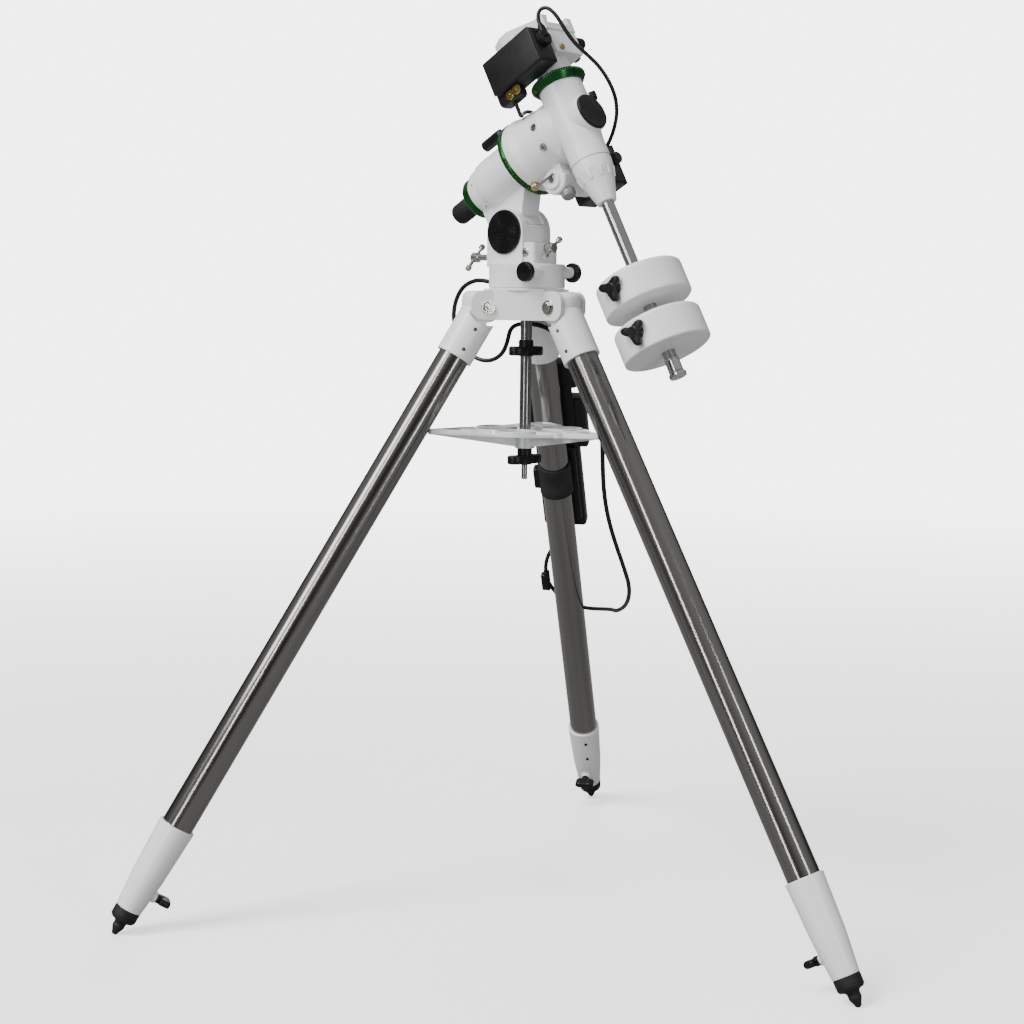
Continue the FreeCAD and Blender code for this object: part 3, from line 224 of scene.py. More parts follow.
def material(name, color, rough, metal=0.0, shade=0.06, patch=9.0, grain=0.05, grain_size=500.0,
             rough_spread=0.06, edge=0.0006, coat=0.0, stretch=None, specks=0.0, specular=0.5):
    """A surface with uneven colour and gloss, a fine grain and softened edges.
    stretch is a frame whose z the pattern is drawn out along; specks scatters paler dots."""
    made = bpy.data.materials.new(name)
    made.use_nodes = True
    tree = made.node_tree
    shader = tree.nodes["Principled BSDF"]
    shader.inputs["Metallic"].default_value = metal
    shader.inputs["Coat Weight"].default_value = coat
    shader.inputs["Specular IOR Level"].default_value = specular
    shader.inputs["Coat Roughness"].default_value = 0.12
    place = tree.nodes.new("ShaderNodeTexCoord").outputs["Object"]
    if stretch is not None:
        mapping = tree.nodes.new("ShaderNodeMapping")
        mapping.vector_type = "TEXTURE"
        mapping.inputs["Rotation"].default_value = stretch.to_euler()
        mapping.inputs["Scale"].default_value = (1, 1, 60)
        tree.links.new(place, mapping.inputs["Vector"])
        place = mapping.outputs[0]

    def noise(scale, detail):
        node = tree.nodes.new("ShaderNodeTexNoise")
        node.inputs["Scale"].default_value = scale
        node.inputs["Detail"].default_value = detail
        tree.links.new(place, node.inputs["Vector"])
        return node.outputs["Fac"]

    ramp = tree.nodes.new("ShaderNodeValToRGB")
    tree.links.new(noise(patch, 4), ramp.inputs[0])
    for stop, level in zip(ramp.color_ramp.elements, (1 - shade, 1 + shade * 0.4)):
        stop.color = tuple(min(1, part * level) for part in color) + (1,)
    ramp.color_ramp.elements[0].position = 0.3
    ramp.color_ramp.elements[1].position = 0.7
    colour = ramp.outputs[0]
    if specks:
        dots = tree.nodes.new("ShaderNodeTexVoronoi")
        dots.inputs["Scale"].default_value = 900
        tree.links.new(place, dots.inputs["Vector"])
        level = tree.nodes.new("ShaderNodeMapRange")
        level.inputs["From Min"].default_value = 0.12
        level.inputs["From Max"].default_value = 0.22
        level.inputs["To Min"].default_value = specks
        level.inputs["To Max"].default_value = 0
        tree.links.new(dots.outputs["Distance"], level.inputs["Value"])
        mix = tree.nodes.new("ShaderNodeMixRGB")
        mix.inputs["Color2"].default_value = (0.5, 0.5, 0.5, 1)
        tree.links.new(level.outputs[0], mix.inputs["Fac"])
        tree.links.new(colour, mix.inputs["Color1"])
        colour = mix.outputs[0]
    tree.links.new(colour, shader.inputs["Base Color"])
    gloss = tree.nodes.new("ShaderNodeMapRange")
    gloss.inputs["From Min"].default_value = 0.3
    gloss.inputs["From Max"].default_value = 0.7
    gloss.inputs["To Min"].default_value = max(0.03, rough - rough_spread)
    gloss.inputs["To Max"].default_value = min(1.0, rough + rough_spread)
    tree.links.new(noise(patch * 5, 3), gloss.inputs["Value"])
    tree.links.new(gloss.outputs[0], shader.inputs["Roughness"])
    bump = tree.nodes.new("ShaderNodeBump")
    bump.inputs["Strength"].default_value = grain
    bump.inputs["Distance"].default_value = 0.001
    tree.links.new(noise(grain_size, 2), bump.inputs["Height"])
    if edge:
        soft = tree.nodes.new("ShaderNodeBevel")
        soft.samples = 4
        soft.inputs["Radius"].default_value = edge
        tree.links.new(soft.outputs[0], bump.inputs["Normal"])
    tree.links.new(bump.outputs[0], shader.inputs["Normal"])
    return made


WHITE = material("white_powder_coat", (0.80, 0.81, 0.81), 0.34, shade=0.04, grain=0.10, grain_size=420,
                 coat=0.25, edge=0.0012)
IRON = material("white_cast_paint", (0.78, 0.785, 0.785), 0.38, shade=0.05, grain=0.22, grain_size=260,
                coat=0.15, edge=0.0014)
STEEL = {name: material("polished_tube_" + name, (0.235, 0.23, 0.215), 0.17, metal=1, shade=0.10, patch=60,
                        grain=0.03, grain_size=900, rough_spread=0.03, edge=0, stretch=LEG[name])
         for name in LEGS}
CHROME = material("chrome", (0.50, 0.50, 0.50), 0.10, metal=1, shade=0.05, patch=40, grain=0.02, edge=0.0004)
DARK_CHROME = material("dark_chrome", (0.22, 0.22, 0.23), 0.14, metal=1, shade=0.08, patch=40, grain=0.02,
                       edge=0.0004)
SHAFT = material("ground_shaft", (0.38, 0.38, 0.38), 0.16, metal=1, shade=0.08, patch=60, grain=0.03,
                 edge=0.0004, stretch=AXES)
BOLT = material("zinc_bolt", (0.55, 0.53, 0.48), 0.24, metal=1, shade=0.12, patch=80, grain=0.08,
                grain_size=900, edge=0.0005)
TRAY = material("silver_cast_paint", (0.66, 0.67, 0.68), 0.38, metal=0.25, shade=0.06, patch=30, grain=0.2,
                grain_size=500, edge=0.0009)
GREEN = material("green_anodised", (0.006, 0.085, 0.014), 0.22, metal=0.7, shade=0.12, patch=30, grain=0.05,
                 grain_size=700, edge=0.0006)
BLACK = material("satin_black_plastic", (0.0045, 0.0045, 0.005), 0.36, shade=0.2, grain=0.12, grain_size=700,
                 edge=0.0008, specular=0.3)
GLOSS = material("gloss_black_plastic", (0.004, 0.004, 0.0045), 0.20, shade=0.2, grain=0.05, grain_size=600,
                 coat=0.15, edge=0.0008, specular=0.3)
CASE = material("motor_case_plastic", (0.0075, 0.0075, 0.0085), 0.40, shade=0.15, grain=0.25, grain_size=1100,
                edge=0.0009, specks=0.01, specular=0.35)
TURNED = material("turned_black_metal", (0.004, 0.004, 0.0045), 0.20, shade=0.12, patch=200, grain=0.01,
                  grain_size=1500, rough_spread=0.01, edge=0, specular=0.45)
RUBBER = material("black_rubber", (0.007, 0.007, 0.007), 0.58, shade=0.25, grain=0.3, grain_size=800,
                  edge=0.0006, specks=0.015, specular=0.35)
CABLE = material("cable_jacket", (0.005, 0.005, 0.0055), 0.40, shade=0.2, grain=0.08, grain_size=500, edge=0,
                 specular=0.35)
CAST_GREY = material("grey_casting", (0.26, 0.26, 0.265), 0.42, metal=0.4, shade=0.15, patch=60, grain=0.2,
                     edge=0.0006)
# Besides the seam, this dark grey fills hex sockets, where it is painted shade in the recess.
DARK = material("seam_shadow", (0.10, 0.10, 0.10), 0.6, shade=0.1, grain=0.05, edge=0)
BRASS = material("turned_brass", (0.52, 0.36, 0.12), 0.25, metal=1, shade=0.12, patch=80, grain=0.06,
                 grain_size=900, edge=0.0004)
GREY = material("grey_mark", (0.20, 0.30, 0.20), 0.5, shade=0.05, grain=0.05, edge=0)
GLASS = material("display_window", (0.012, 0.016, 0.018), 0.10, shade=0.1, grain=0.01, coat=0.5, edge=0.0004)
STRAP = material("webbing", (0.006, 0.006, 0.0065), 0.75, shade=0.3, grain=0.6, grain_size=1600, edge=0)

CAD_FINISH = {
    "tripod_hub": IRON, "hub_bolts": BOLT, "cord_gland": BLACK, "centre_rod": DARK_CHROME,
    "spreader_tray": TRAY, "mount_base": IRON, "north_altitude_bolt": DARK_CHROME,
    "south_altitude_bolt": DARK_CHROME, "ra_housing": WHITE, "ra_end_ring": GREEN, "ra_setting_ring": GREEN,
    "ra_shaft": TURNED, "ra_drum": WHITE, "ra_clutch_lever": BLACK, "dec_housing": WHITE,
    "drum_screws": CHROME, "dec_front_cap": BLACK, "dec_ring": GREEN, "dec_head": WHITE, "saddle": WHITE,
    "counterweight_shaft": SHAFT, "upper_counterweight": IRON, "lower_counterweight": IRON,
    "shaft_end_cap": CHROME, "dec_plug": BLACK, "ra_motor_box": CASE, "dec_motor_box": CASE,
    "hand_controller": BLACK, "controller_keys": RUBBER, "controller_bracket": STRAP, "altitude_axle": TURNED,
    "azimuth_knob_east": GLOSS, "azimuth_knob_west": GLOSS, "saddle_main_knob": BLACK,
    "saddle_small_knob": BLACK, "upper_weight_knob": BLACK, "lower_weight_knob": BLACK, "rod_knob": BLACK,
    "tray_knob": BLACK, "polar_cap": RUBBER, "ra_clutch_screw": BRASS, "controller_cord": CABLE,
    "dec_lead": CABLE, "motor_lead": CABLE,
}
for name in LEGS:
    CAD_FINISH[name + "_leg_head"] = WHITE
    CAD_FINISH[name + "_leg_clamp"] = WHITE
    CAD_FINISH[name + "_leg_tube"] = STEEL[name]
    CAD_FINISH[name + "_inner_leg"] = STEEL[name]
    CAD_FINISH[name + "_lock_knob"] = BLACK
for name, finish in CAD_FINISH.items():
    slots = nodes[name].material_slots
    for index in range(len(slots)):
        slots[index].material = finish


# ---------------------------------------------------------------- mesh helpers

def finished(name, shape, place, body, materials, replaces=(), angle=38):
    """Turns a bmesh in a working frame into a piece that rides on a body.
    Edges that turn by more than angle (degrees) are shaded sharp."""
    mesh = bpy.data.meshes.new(name)
    shape.transform(place)
    bmesh.ops.recalc_face_normals(shape, faces=shape.faces)
    shape.to_mesh(mesh)
    shape.free()
    mesh.shade_smooth()
    mesh.set_sharp_from_angle(angle=math.radians(angle))
    for item in materials:
        mesh.materials.append(item)
    obj = bpy.data.objects.new(name, mesh)
    bpy.context.scene.collection.objects.link(obj)
    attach(obj, body)
    if replaces:
        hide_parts(*replaces)
    return obj


# Lengths under which a corner counts as on the axis, and an edge as level.
ON_AXIS = 1e-6
LEVEL = 1e-4


def lathe(shape, profile, at=Matrix(), segments=64, material=0, radius=None):
    """Adds a body turned about z from (radius, height) corners. radius(angle, r) may reshape each ring."""
    rings = []
    for r, z in profile:
        ring = []
        if r < ON_AXIS:
            ring = [shape.verts.new(at @ Vector((0, 0, z)))]
        else:
            for index in range(segments):
                turn = 2 * math.pi * index / segments
                reach = radius(turn, r) if radius else r
                corner = Vector((reach * math.cos(turn), reach * math.sin(turn), z))
                ring.append(shape.verts.new(at @ corner))
        rings.append(ring)
    closed = profile[0] == profile[-1]
    if closed:
        for vert in rings[-1]:
            shape.verts.remove(vert)
        rings[-1] = rings[0]
    for low, high in zip(rings, rings[1:]):
        for index in range(segments):
            after = (index + 1) % segments
            bottom = [low[index % len(low)], low[after % len(low)]]
            top = [high[after % len(high)], high[index % len(high)]]
            corners = list(dict.fromkeys(bottom + top))
            if len(corners) > 2:
                face = shape.faces.new(corners)
                face.material_index = material
    return shape


def block(shape, x, y, z, at=Matrix(), material=0, soft=0.0, segments=3):
    """Adds a box with softened edges from its spans."""
    own = bmesh.new()
    bmesh.ops.create_cube(own, size=1)
    for vert in own.verts:
        spans = zip(vert.co, (x, y, z))
        vert.co = Vector([(low + high) / 2 + part * (high - low) for part, (low, high) in spans])
    if soft:
        bmesh.ops.bevel(own, geom=own.edges[:], offset=soft, segments=segments, profile=0.5, affect="EDGES")
    merge(shape, own, at, material)


def merge(shape, own, at, material):
    """Moves one bmesh into another, in a frame and with one material."""
    for face in own.faces:
        face.material_index = material
    own.transform(at)
    copy = {vert: shape.verts.new(vert.co) for vert in own.verts}
    for face in own.faces:
        made = shape.faces.new([copy[vert] for vert in face.verts])
        made.material_index = face.material_index
    own.free()


def outline_plate(shape, points, low, high, at=Matrix(), material=0, soft=0.0):
    """Adds a plate with the outline given, softened along its edges."""
    own = bmesh.new()
    ring = [own.verts.new((x, y, low)) for x, y in points]
    base = own.faces.new(ring)
    grown = bmesh.ops.extrude_face_region(own, geom=[base])["geom"]
    for item in grown:
        if isinstance(item, bmesh.types.BMVert):
            item.co.z = high
    if soft:
        rims = []
        for edge in own.edges:
            first, second = edge.verts
            if abs(first.co.z - second.co.z) < LEVEL:
                rims.append(edge)
        bmesh.ops.bevel(own, geom=rims, offset=soft, segments=3, profile=0.5, affect="EDGES")
    merge(shape, own, at, material)


def lobed(count, waist, reach, sharpness, spin=0.0):
    """Outline of a knob with wings: waist between them, reach at their ends."""
    steps = 96
    points = []
    for index in range(steps):
        turn = 2 * math.pi * index / steps
        swell = (0.5 + 0.5 * math.cos(count * turn)) ** sharpness
        distance = waist + (reach - waist) * swell
        points.append((distance * math.cos(turn + spin), distance * math.sin(turn + spin)))
    return points


def fluted(count, depth):
    """Reshapes a ring so that it has a row of grooves round it."""
    return lambda turn, r: r - depth * (0.5 - 0.5 * math.cos(count * turn)) ** 2


def hex_socket_screw(shape, at, radius, height, head=0, socket=1):
    """Adds a cap screw. head and socket are the numbers of their materials."""
    bottom = height * 0.45
    lathe(
        shape,
        [
            (0, 0), (radius, 0), (radius, height - 0.5), (radius - 0.5, height), (radius * 0.62, height),
            (radius * 0.58, height - 0.3),
        ],
        at, 32, head,
    )
    lathe(shape, [(radius * 0.58, height - 0.3), (radius * 0.52, bottom), (0, bottom)], at, 6, socket)


# ---------------------------------------------------------------- cords

def smooth_line(name, points, radius):
    """A NURBS curve whose control points are the route's points."""
    curve = bpy.data.curves.new(name, "CURVE")
    curve.dimensions = "3D"
    curve.bevel_depth = radius
    curve.bevel_resolution = 6
    curve.use_fill_caps = True
    curve.resolution_u = 10
    spline = curve.splines.new("NURBS")
    spline.points.add(len(points) - 1)
    for knot, place in zip(spline.points, points):
        knot.co = (*place, 1)
    spline.order_u = 3
    spline.use_endpoint_u = True
    curve.materials.append(CABLE)
    obj = bpy.data.objects.new(name, curve)
    bpy.context.scene.collection.objects.link(obj)
    return obj


def evaluated_mesh(obj):
    """The mesh of a curve as it stands: a tube, or its bare line where it has no bevel."""
    graph = bpy.context.evaluated_depsgraph_get()
    graph.update()
    return bpy.data.meshes.new_from_object(obj.evaluated_get(graph))


def controller_cord():
    """The hand controller's cord: from the gland, under the hub, and up behind the west leg."""
    route = [
        (0, -72, 890), (1, -88, 893), (3, -105, 891), (6, -122, 882), (8, -134, 862), (8, -138, 836),
        (6, -129, 809), (3, -112, 788), (-1, -92, 777), (-6, -71, 777), (-11, -55, 788), (-13, -48, 806),
        (-14, -44, 825), (-22, -31, 832), (-34, -14, 831), (-41, 6, 825), (-41, 26, 813), (-38, 47, 798),
        (-34, 68, 780), (-30, 90, 757),
        (-28, 108, 730), (-28, 118, 699), (-32, 117, 664), (-42, 110, 630), (-60, 98, 593), (-85, 86, 554),
        (-116, 75, 514), (-150, 63, 476), (-183, 48, 441), (-208, 23, 411),
    ]
    behind_leg = [
        (95, -80, -500), (75, -35, -535), (48, 5, -570), (22, 28, -590), (-5, 35, -589), (-28, 37, -573),
        (-42, 37, -546), (-44, 37, -515), (-35, 38, -485), (-17, 39, -461), (-8, 39, -438), (-8, 39, -420),
    ]
    points = [TRIPOD @ Vector(place) for place in route]
    points += [LEG["west"] @ Vector(place) for place in behind_leg]
    line = smooth_line("controller_cord_route", points, 0.0)
    path = [tuple(vert.co) for vert in evaluated_mesh(line).vertices]
    line.data.bevel_depth = CORD_RADIUS
    tube = bpy.data.objects.new("controller_cord_line", evaluated_mesh(line))
    bpy.context.scene.collection.objects.link(tube)
    bpy.data.objects.remove(line)
    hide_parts("controller_cord")
    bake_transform(tube)
    clip = bmesh.new()
    block(clip, (-52, -38), (31, 43), (-560, -528), soft=2.5)
    lathe(clip, [(0, 0), (5.4, 0), (5.0, 9), (0, 9)], toward((0.1, 0, 1), (-43, 37, -532)), 24)
    clip_piece = finished("cord_clip", clip, LEG["west"], "west_leg", [BLACK])


def motor_cords():
    """Two leads to the polar motor box: one from the declination motor's plug, one from under its box."""
    routes = {
        "dec_lead": (
            (45, 40.3, 126), (45, 40.3, 137), (42, 48, 146), (38, 57, 143), (35, 62, 131), (31, 63, 118),
            (26, 62, 104), (18, 62, 86), (7, 65, 68), (-6, 67.5, 50), (-19, 65, 30), (-32, 57, 10),
            (-44, 41, -6), (-53, 21, -17), (-60, 2, -24), (-64, -12, -27), (-64, -20, -27),
        ),
        "motor_lead": (
            (45, -47, 58), (45, -47, 48), (39, -52, 41), (29, -58, 44), (16, -63, 53), (2, -67, 60),
            (-13, -70, 62), (-28, -71, 55), (-42, -70, 43), (-54, -67, 29), (-63, -63, 14), (-69, -58, 0),
            (-69, -58, -14),
        ),
    }
    for name, route in routes.items():
        points = [AXES @ Vector(place) for place in route]
        line = smooth_line(name + "_line", points, LEAD_RADIUS)
        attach(line, "ra_rotor")
        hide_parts(name)


# ---------------------------------------------------------------- tripod details

def feet():
    """Inner tubes, each with a grooved rubber foot and its rounded tip."""
    for name in LEGS:
        shape = bmesh.new()
        lathe(shape, [(15.6, -560), (15.6, COLLAR_TOP)], segments=48)
        lathe(shape, [(14.1, COLLAR_TOP), (14.1, -560), (15.6, -560)], segments=48)
        lathe(
            shape,
            [
                (0, -955.9), (17.4, -955.9), (18.2, -956.8), (18.2, -966.0), (17.6, -966.6), (18.2, -967.2),
                (17.9, -970.4), (15.5, -973.2), (10.2, -974.6), (8.6, -977.0), (8.2, -980.5), (8.7, -981.6),
                (7.9, -985.0), (5.9, -989.0), (5.0, -990.6), (4.6, -992.5), (3.5, -994.1), (1.9, -995.2),
                (0, -995.6),
            ],
            segments=48, material=1,
        )
        finished(name + "_foot_tube", shape, LEG[name], name + "_foot", [STEEL[name], RUBBER],
                 replaces=[name + "_inner_leg"])


def wing_knob(name, body, place, waist, reach, low, high, hub_radius, hub_low, hub_high, bore=0,
              sharpness=2.2, stem=None):
    """A two-winged knob on a hub. stem is the radius and the far end of its screw."""
    shape = bmesh.new()
    outline_plate(shape, lobed(2, waist, reach, sharpness), low, high, soft=min(2.2, (high - low) * 0.3))
    lathe(
        shape,
        [
            (bore, hub_low), (hub_radius - 0.8, hub_low), (hub_radius, hub_low + 0.8),
            (hub_radius, hub_high - 0.8), (hub_radius - 0.8, hub_high), (bore, hub_high),
        ],
        segments=48,
    )
    if stem:
        radius, end = stem
        lathe(shape, [(0, end), (radius, end), (radius, hub_low + 1)], segments=24, material=1)
    return finished(name + "_wings", shape, place, body, [BLACK, BOLT], replaces=[name])


def tripod_knobs():
    """Lock knobs on the legs, and the two nuts on the centre rod."""
    for name in LEGS:
        place = LEG[name] @ toward((0, -1, 0), (0, LOCK_FACE, LOCK_HEIGHT))
        wing_knob(name + "_lock_knob", name + "_lock_knob", place, waist=4.5, reach=15.5, low=4, high=19,
                  hub_radius=6.5, hub_low=0, hub_high=9, stem=(3, -9.5))
    wing_knob("rod_knob", "rod_knob", TRIPOD, waist=8.5, reach=31, low=787, high=800, hub_radius=10.5,
              hub_low=786, hub_high=809, bore=8.6, sharpness=1.6)
    wing_knob("tray_knob", "tray_knob", TRIPOD, waist=8.5, reach=31, low=633.7, high=646, hub_radius=10.5,
              hub_low=632.7, hub_high=655.7, bore=4.6, sharpness=1.6)


def leg_screws():
    """Two small black screws on each side of each leg casting."""
    for name in LEGS:
        shape = bmesh.new()
        for height in (-68.5, -36.5):
            for side in (1, -1):
                at = toward((side, 0.0, 0), (side * 25.6, 0, height))
                lathe(shape, [(0, 0), (2.6, 0), (2.6, 0.9), (2.1, 1.2), (1.0, 1.1), (0, 0.4)], at, 20)
        finished(name + "_head_screws", shape, LEG[name], name + "_leg", [TURNED])


def hinge_hardware():
    """Washers, chamfered nuts and stud ends on the hinge bolts."""
    for name in LEGS:
        shape = bmesh.new()
        for side in (1, -1):
            at = toward((side, 0, 0), (side * LUG_HALF_WIDTH, 0, 0))
            lathe(shape, [(7.4, 0), (10.4, 0), (10.4, 0.8), (9.9, 1.2), (7.4, 1.2)], at, 40)
            lathe(shape, [(0, 4.9), (6.2, 4.9), (5.7, 5.5), (0, 5.6)], at, 32)
        stud_end = toward((-1, 0, 0), (-LUG_HALF_WIDTH, 0, 0))
        lathe(shape, [(4, 5), (4, 7.6), (3.4, 8.2), (0, 8.2)], stud_end, 32)
        place = LEG[name] @ Matrix.Rotation(math.radians(-SPREAD_ANGLE), 4, "X")
        finished(name + "_hinge_washers", shape, place, "tripod", [BOLT])


def tommy_bars():
    """Altitude screws with a collar and a sliding bar whose ends are barrel shaped."""
    screws = (
        {"name": "north_altitude_bolt", "tip": 9.4, "head": 51, "height": 938, "half_bar": 19, "angle": 141},
        {"name": "south_altitude_bolt", "tip": -36, "head": -106, "height": 925, "half_bar": 21.35,
         "angle": -47.7},
    )
    for screw in screws:
        shape = bmesh.new()
        tip, head, height, half = screw["tip"], screw["head"], screw["height"], screw["half_bar"]
        way = 1 if head > tip else -1
        length = abs(head - tip)
        at = toward((0, way, 0), (0, tip, height))
        lathe(
            shape,
            [
                (0, 0), (3.8, 0), (4.5, 0.7), (4.5, length - 11), (7.2, length - 10), (7.2, length - 0.8),
                (6.4, length), (0, length),
            ],
            at, 40,
        )
        tilt = math.radians(screw["angle"])
        bar = toward((math.cos(tilt), 0, math.sin(tilt)), (0, head - 4 * way, height))
        lathe(
            shape,
            [
                (0, -half - 3.3), (2.8, -half - 3.1), (4.3, -half - 1.6), (4.3, -half + 3.6),
                (2.8, -half + 5.2), (2.4, -half + 7), (2.4, half - 7), (2.8, half - 5.2),
                (4.3, half - 3.6), (4.3, half + 1.6), (2.8, half + 3.1), (0, half + 3.3),
            ],
            bar, 32,
        )
        name = screw["name"]
        finished(name + "_bar", shape, TRIPOD, name, [BOLT], replaces=[name])


def clamp_screws():
    """Two small screws in each lower leg casting and one in the north block of the base."""
    for name in LEGS:
        shape = bmesh.new()
        for height, radius in ((-848, 25.4), (-883, 24.2)):
            at = toward((0.25, -0.97, 0), (0.25 * radius, -0.97 * radius, height))
            lathe(shape, [(0, 0), (2.4, 0), (2.4, 1.0), (1.9, 1.3), (0.9, 1.2), (0, 0.5)], at, 20)
        finished(name + "_clamp_screws", shape, LEG[name], name + "_leg", [TURNED])
    shape = bmesh.new()
    on_block = toward((1, 0, 0), (25.8, 20, 931))
    # The socket of this screw is drawn in the dark seam_shadow grey: painted shade in the recess.
    hex_socket_screw(shape, on_block, 4.6, 3.0)
    lathe(shape, [(4.4, 0), (6.6, 0), (6.6, 0.8), (6.2, 1.1), (4.4, 1.1), (4.4, 0)], on_block, 32)
    finished("base_block_screw", shape, TRIPOD, "azimuth_base", [BOLT, DARK])


def housing_details():
    """On the drum and the housings: a seam, ribs on the nose, a bearing cap under the worm, a clamp knob
    beside the declination cap, a brass thumbscrew on the head, and casting screws round the polar housing."""
    shape = bmesh.new()
    lathe(shape, [(28.15, -64.3), (28.3, -64.3), (28.35, -63.7), (28.15, -63.7)], segments=96, material=1)
    ribs = 10
    for index in range(ribs):
        turn = Matrix.Rotation(2 * math.pi * (index + 0.5) / ribs, 4, "Z")
        outline = [(-3.4, 0), (3.4, 0), (2.5, 13), (-2.5, 13)]
        down, out = Vector((-0.26, 0, -0.966)), Vector((0.966, 0, -0.26))
        lean = turn @ plain_frame(Vector((0, 1, 0)), down, out, Vector((26.6, 0, -81)))
        outline_plate(shape, outline, -1.2, 0.95, lean, soft=0.5)
    under_worm = toward((0.2, 0.1, -1), (6, -50, -77))
    lathe(shape, [(0, 0), (9, 0), (10.4, 1.6), (10.4, 9), (8.6, 12), (0, 12.6)], under_worm, 9, material=3)
    bearing_face = toward((1, 0, 0), (19.5, -55, -58.5))
    lathe(shape, [(0, 0), (12.5, 0), (13, 0.6), (13, 3.4), (12.4, 4), (0, 4)], bearing_face, 48)
    # The socket of this screw is drawn in the dark seam_shadow grey: painted shade in the recess.
    hex_socket_screw(shape, toward((1, 0, 0), (23.2, -55, -58.5)), 5, 1.6, head=2, socket=1)
    finished("dec_housing_details", shape, AXES, "ra_rotor", [WHITE, DARK, BOLT, CAST_GREY])
    shape = bmesh.new()
    out = Vector((-0.64, 0.77, 0))
    beside_cap = toward(out, 32 * out + Vector((0, 0, 27)))
    lathe(shape, [(0, 0), (6.2, 0), (7, 1), (7, 8.4), (5.8, 10), (0, 10.2)], beside_cap, 96,
          radius=fluted(12, 0.7))
    finished("dec_lock_grip", shape, AXES, "ra_rotor", [BLACK])
    shape = bmesh.new()
    at = toward((0, 1, 0), (8, 33, 99))
    lathe(shape, [(0, 0), (4.2, 0), (4.2, 3.4), (3.6, 4), (0, 4)], at, 60, radius=fluted(15, 0.4))
    finished("dec_brass_screw", shape, AXES, "dec_rotor", [BRASS])
    shape = bmesh.new()
    hex_socket_screw(shape, toward((0, 0, 1), (0, -167, 39)), 3.0, 5.6, socket=0)
    for turn in range(0, 360, 60):
        at = Matrix.Rotation(math.radians(turn + 20), 4, "Y") @ toward((0, 0, 1), (0, -180, 35.2))
        lathe(shape, [(0, 0), (1.7, 0), (1.7, 0.9), (0.9, 0.9), (0, 0.3)], at, 16)
    finished("ra_housing_screws", shape, AXES, "polar_housing", [BOLT])


def tray_rims():
    """Raised rims round the tray's nine holes, and the ribs along the edges of its three arms."""
    shape = bmesh.new()
    rib = [(-44, 62), (-42, 62), (-4.6, 138.4), (4.6, 138.4), (42, 62), (44, 62), (6, 140), (-6, 140)]
    rim_low, rim_high, rim_top = TRAY_LOW + 0.3, TRAY_HIGH - 0.4, TRAY_HIGH + 0.2
    places = []
    for azimuth in (0, 120, 240):
        turn = Matrix.Rotation(-math.radians(azimuth), 4, "Z")
        away = Matrix.Rotation(-math.radians(azimuth + 60), 4, "Z")
        places.append((away @ Vector((0, 55, 0)), 27))
        places += [(turn @ Vector((side * 20, 82, 0)), 13) for side in (-1, 1)]
        outline_plate(shape, rib, TRAY_LOW, TRAY_HIGH, turn, soft=0.5)
    for centre, hole in places:
        lathe(
            shape,
            [
                (hole, rim_low), (hole, rim_high), (hole + 0.6, rim_top), (hole + 2.2, rim_top),
                (hole + 2.8, rim_high), (hole + 2.8, rim_low), (hole, rim_low),
            ],
            Matrix.Translation(centre), 48,
        )
    finished("tray_rims", shape, TRIPOD, "tray", [TRAY])


# ---------------------------------------------------------------- mount details

def altitude_caps():
    """The turned covers on both ends of the altitude axle, and the axle between them."""
    shape = bmesh.new()
    profile = [(0, 0), (31, 0), (31, 2.6), (30.2, 3.4), (28.4, 3.5), (28.0, 3.0), (27.4, 3.0), (27.0, 3.5)]
    for radius in range(26, 11, -3):
        profile += [(radius, 3.5), (radius - 0.4, 3.0), (radius - 2.6, 3.0), (radius - 2.9, 3.5)]
    profile += [(9, 3.4), (8.6, 3.0), (0, 3.0)]
    for side in (1, -1):
        lathe(shape, profile, toward((side, 0, 0), (side * CHEEK_FACE, PIVOT_NORTH, PIVOT_HEIGHT)), 96)
    axle = toward((1, 0, 0), (0, PIVOT_NORTH, PIVOT_HEIGHT))
    lathe(shape, [(6, -CHEEK_FACE), (6, CHEEK_FACE)], axle, 24)
    finished("altitude_cover_discs", shape, TRIPOD, "azimuth_base", [TURNED],
             replaces=["altitude_axle"], angle=25)


def round_knobs():
    """The azimuth knobs on the base and the saddle's two clamp knobs, each with its screw."""
    for side, name in ((1, "east"), (-1, "west")):
        shape = bmesh.new()
        lathe(
            shape,
            [(0, 0), (12.5, 0), (13.8, 1.2), (14.2, 3), (14.2, 7.6), (13.4, 9.4), (11, 10), (0, 10.4)],
            segments=96, radius=fluted(20, 0.6),
        )
        lathe(shape, [(0, -KNOB_STUD_LENGTH), (3, -KNOB_STUD_LENGTH), (3, 1)], segments=24, material=1)
        face = (side * AZIMUTH_KNOB_EAST, AZIMUTH_KNOB_NORTH, AZIMUTH_KNOB_HEIGHT)
        label = "azimuth_knob_" + name
        finished(label + "_grip", shape, TRIPOD @ toward((side, 0, 0), face), label, [GLOSS, BOLT],
                 replaces=[label])
    saddle_knobs = (
        {"name": "saddle_main_knob", "along": 22, "height": 118, "radius": 9, "length": 21, "screw": 3},
        {"name": "saddle_small_knob", "along": 11, "height": 103, "radius": 7.5, "length": 14, "screw": 2.5},
    )
    for knob in saddle_knobs:
        name, radius, length, screw = knob["name"], knob["radius"], knob["length"], knob["screw"]
        shape = bmesh.new()
        lathe(
            shape,
            [
                (0, 0), (radius - 1.5, 0), (radius, 1.5), (radius, length - 2), (radius - 1.6, length),
                (0, length),
            ],
            segments=96, radius=fluted(14, 1.1),
        )
        pin_low, pin_top = length - 1, length + 5
        lathe(shape, [(0, pin_low), (3.6, pin_low), (3.6, pin_top - 0.8), (3.0, pin_top), (0, pin_top)],
              segments=32, material=1)
        lathe(shape, [(0, -17), (screw, -17), (screw, 1)], segments=24, material=1)
        place = AXES @ toward((-1, 0, 0), (-35, knob["along"], knob["height"]))
        finished(name + "_grip", shape, place, name, [BLACK, CHROME], replaces=[name])


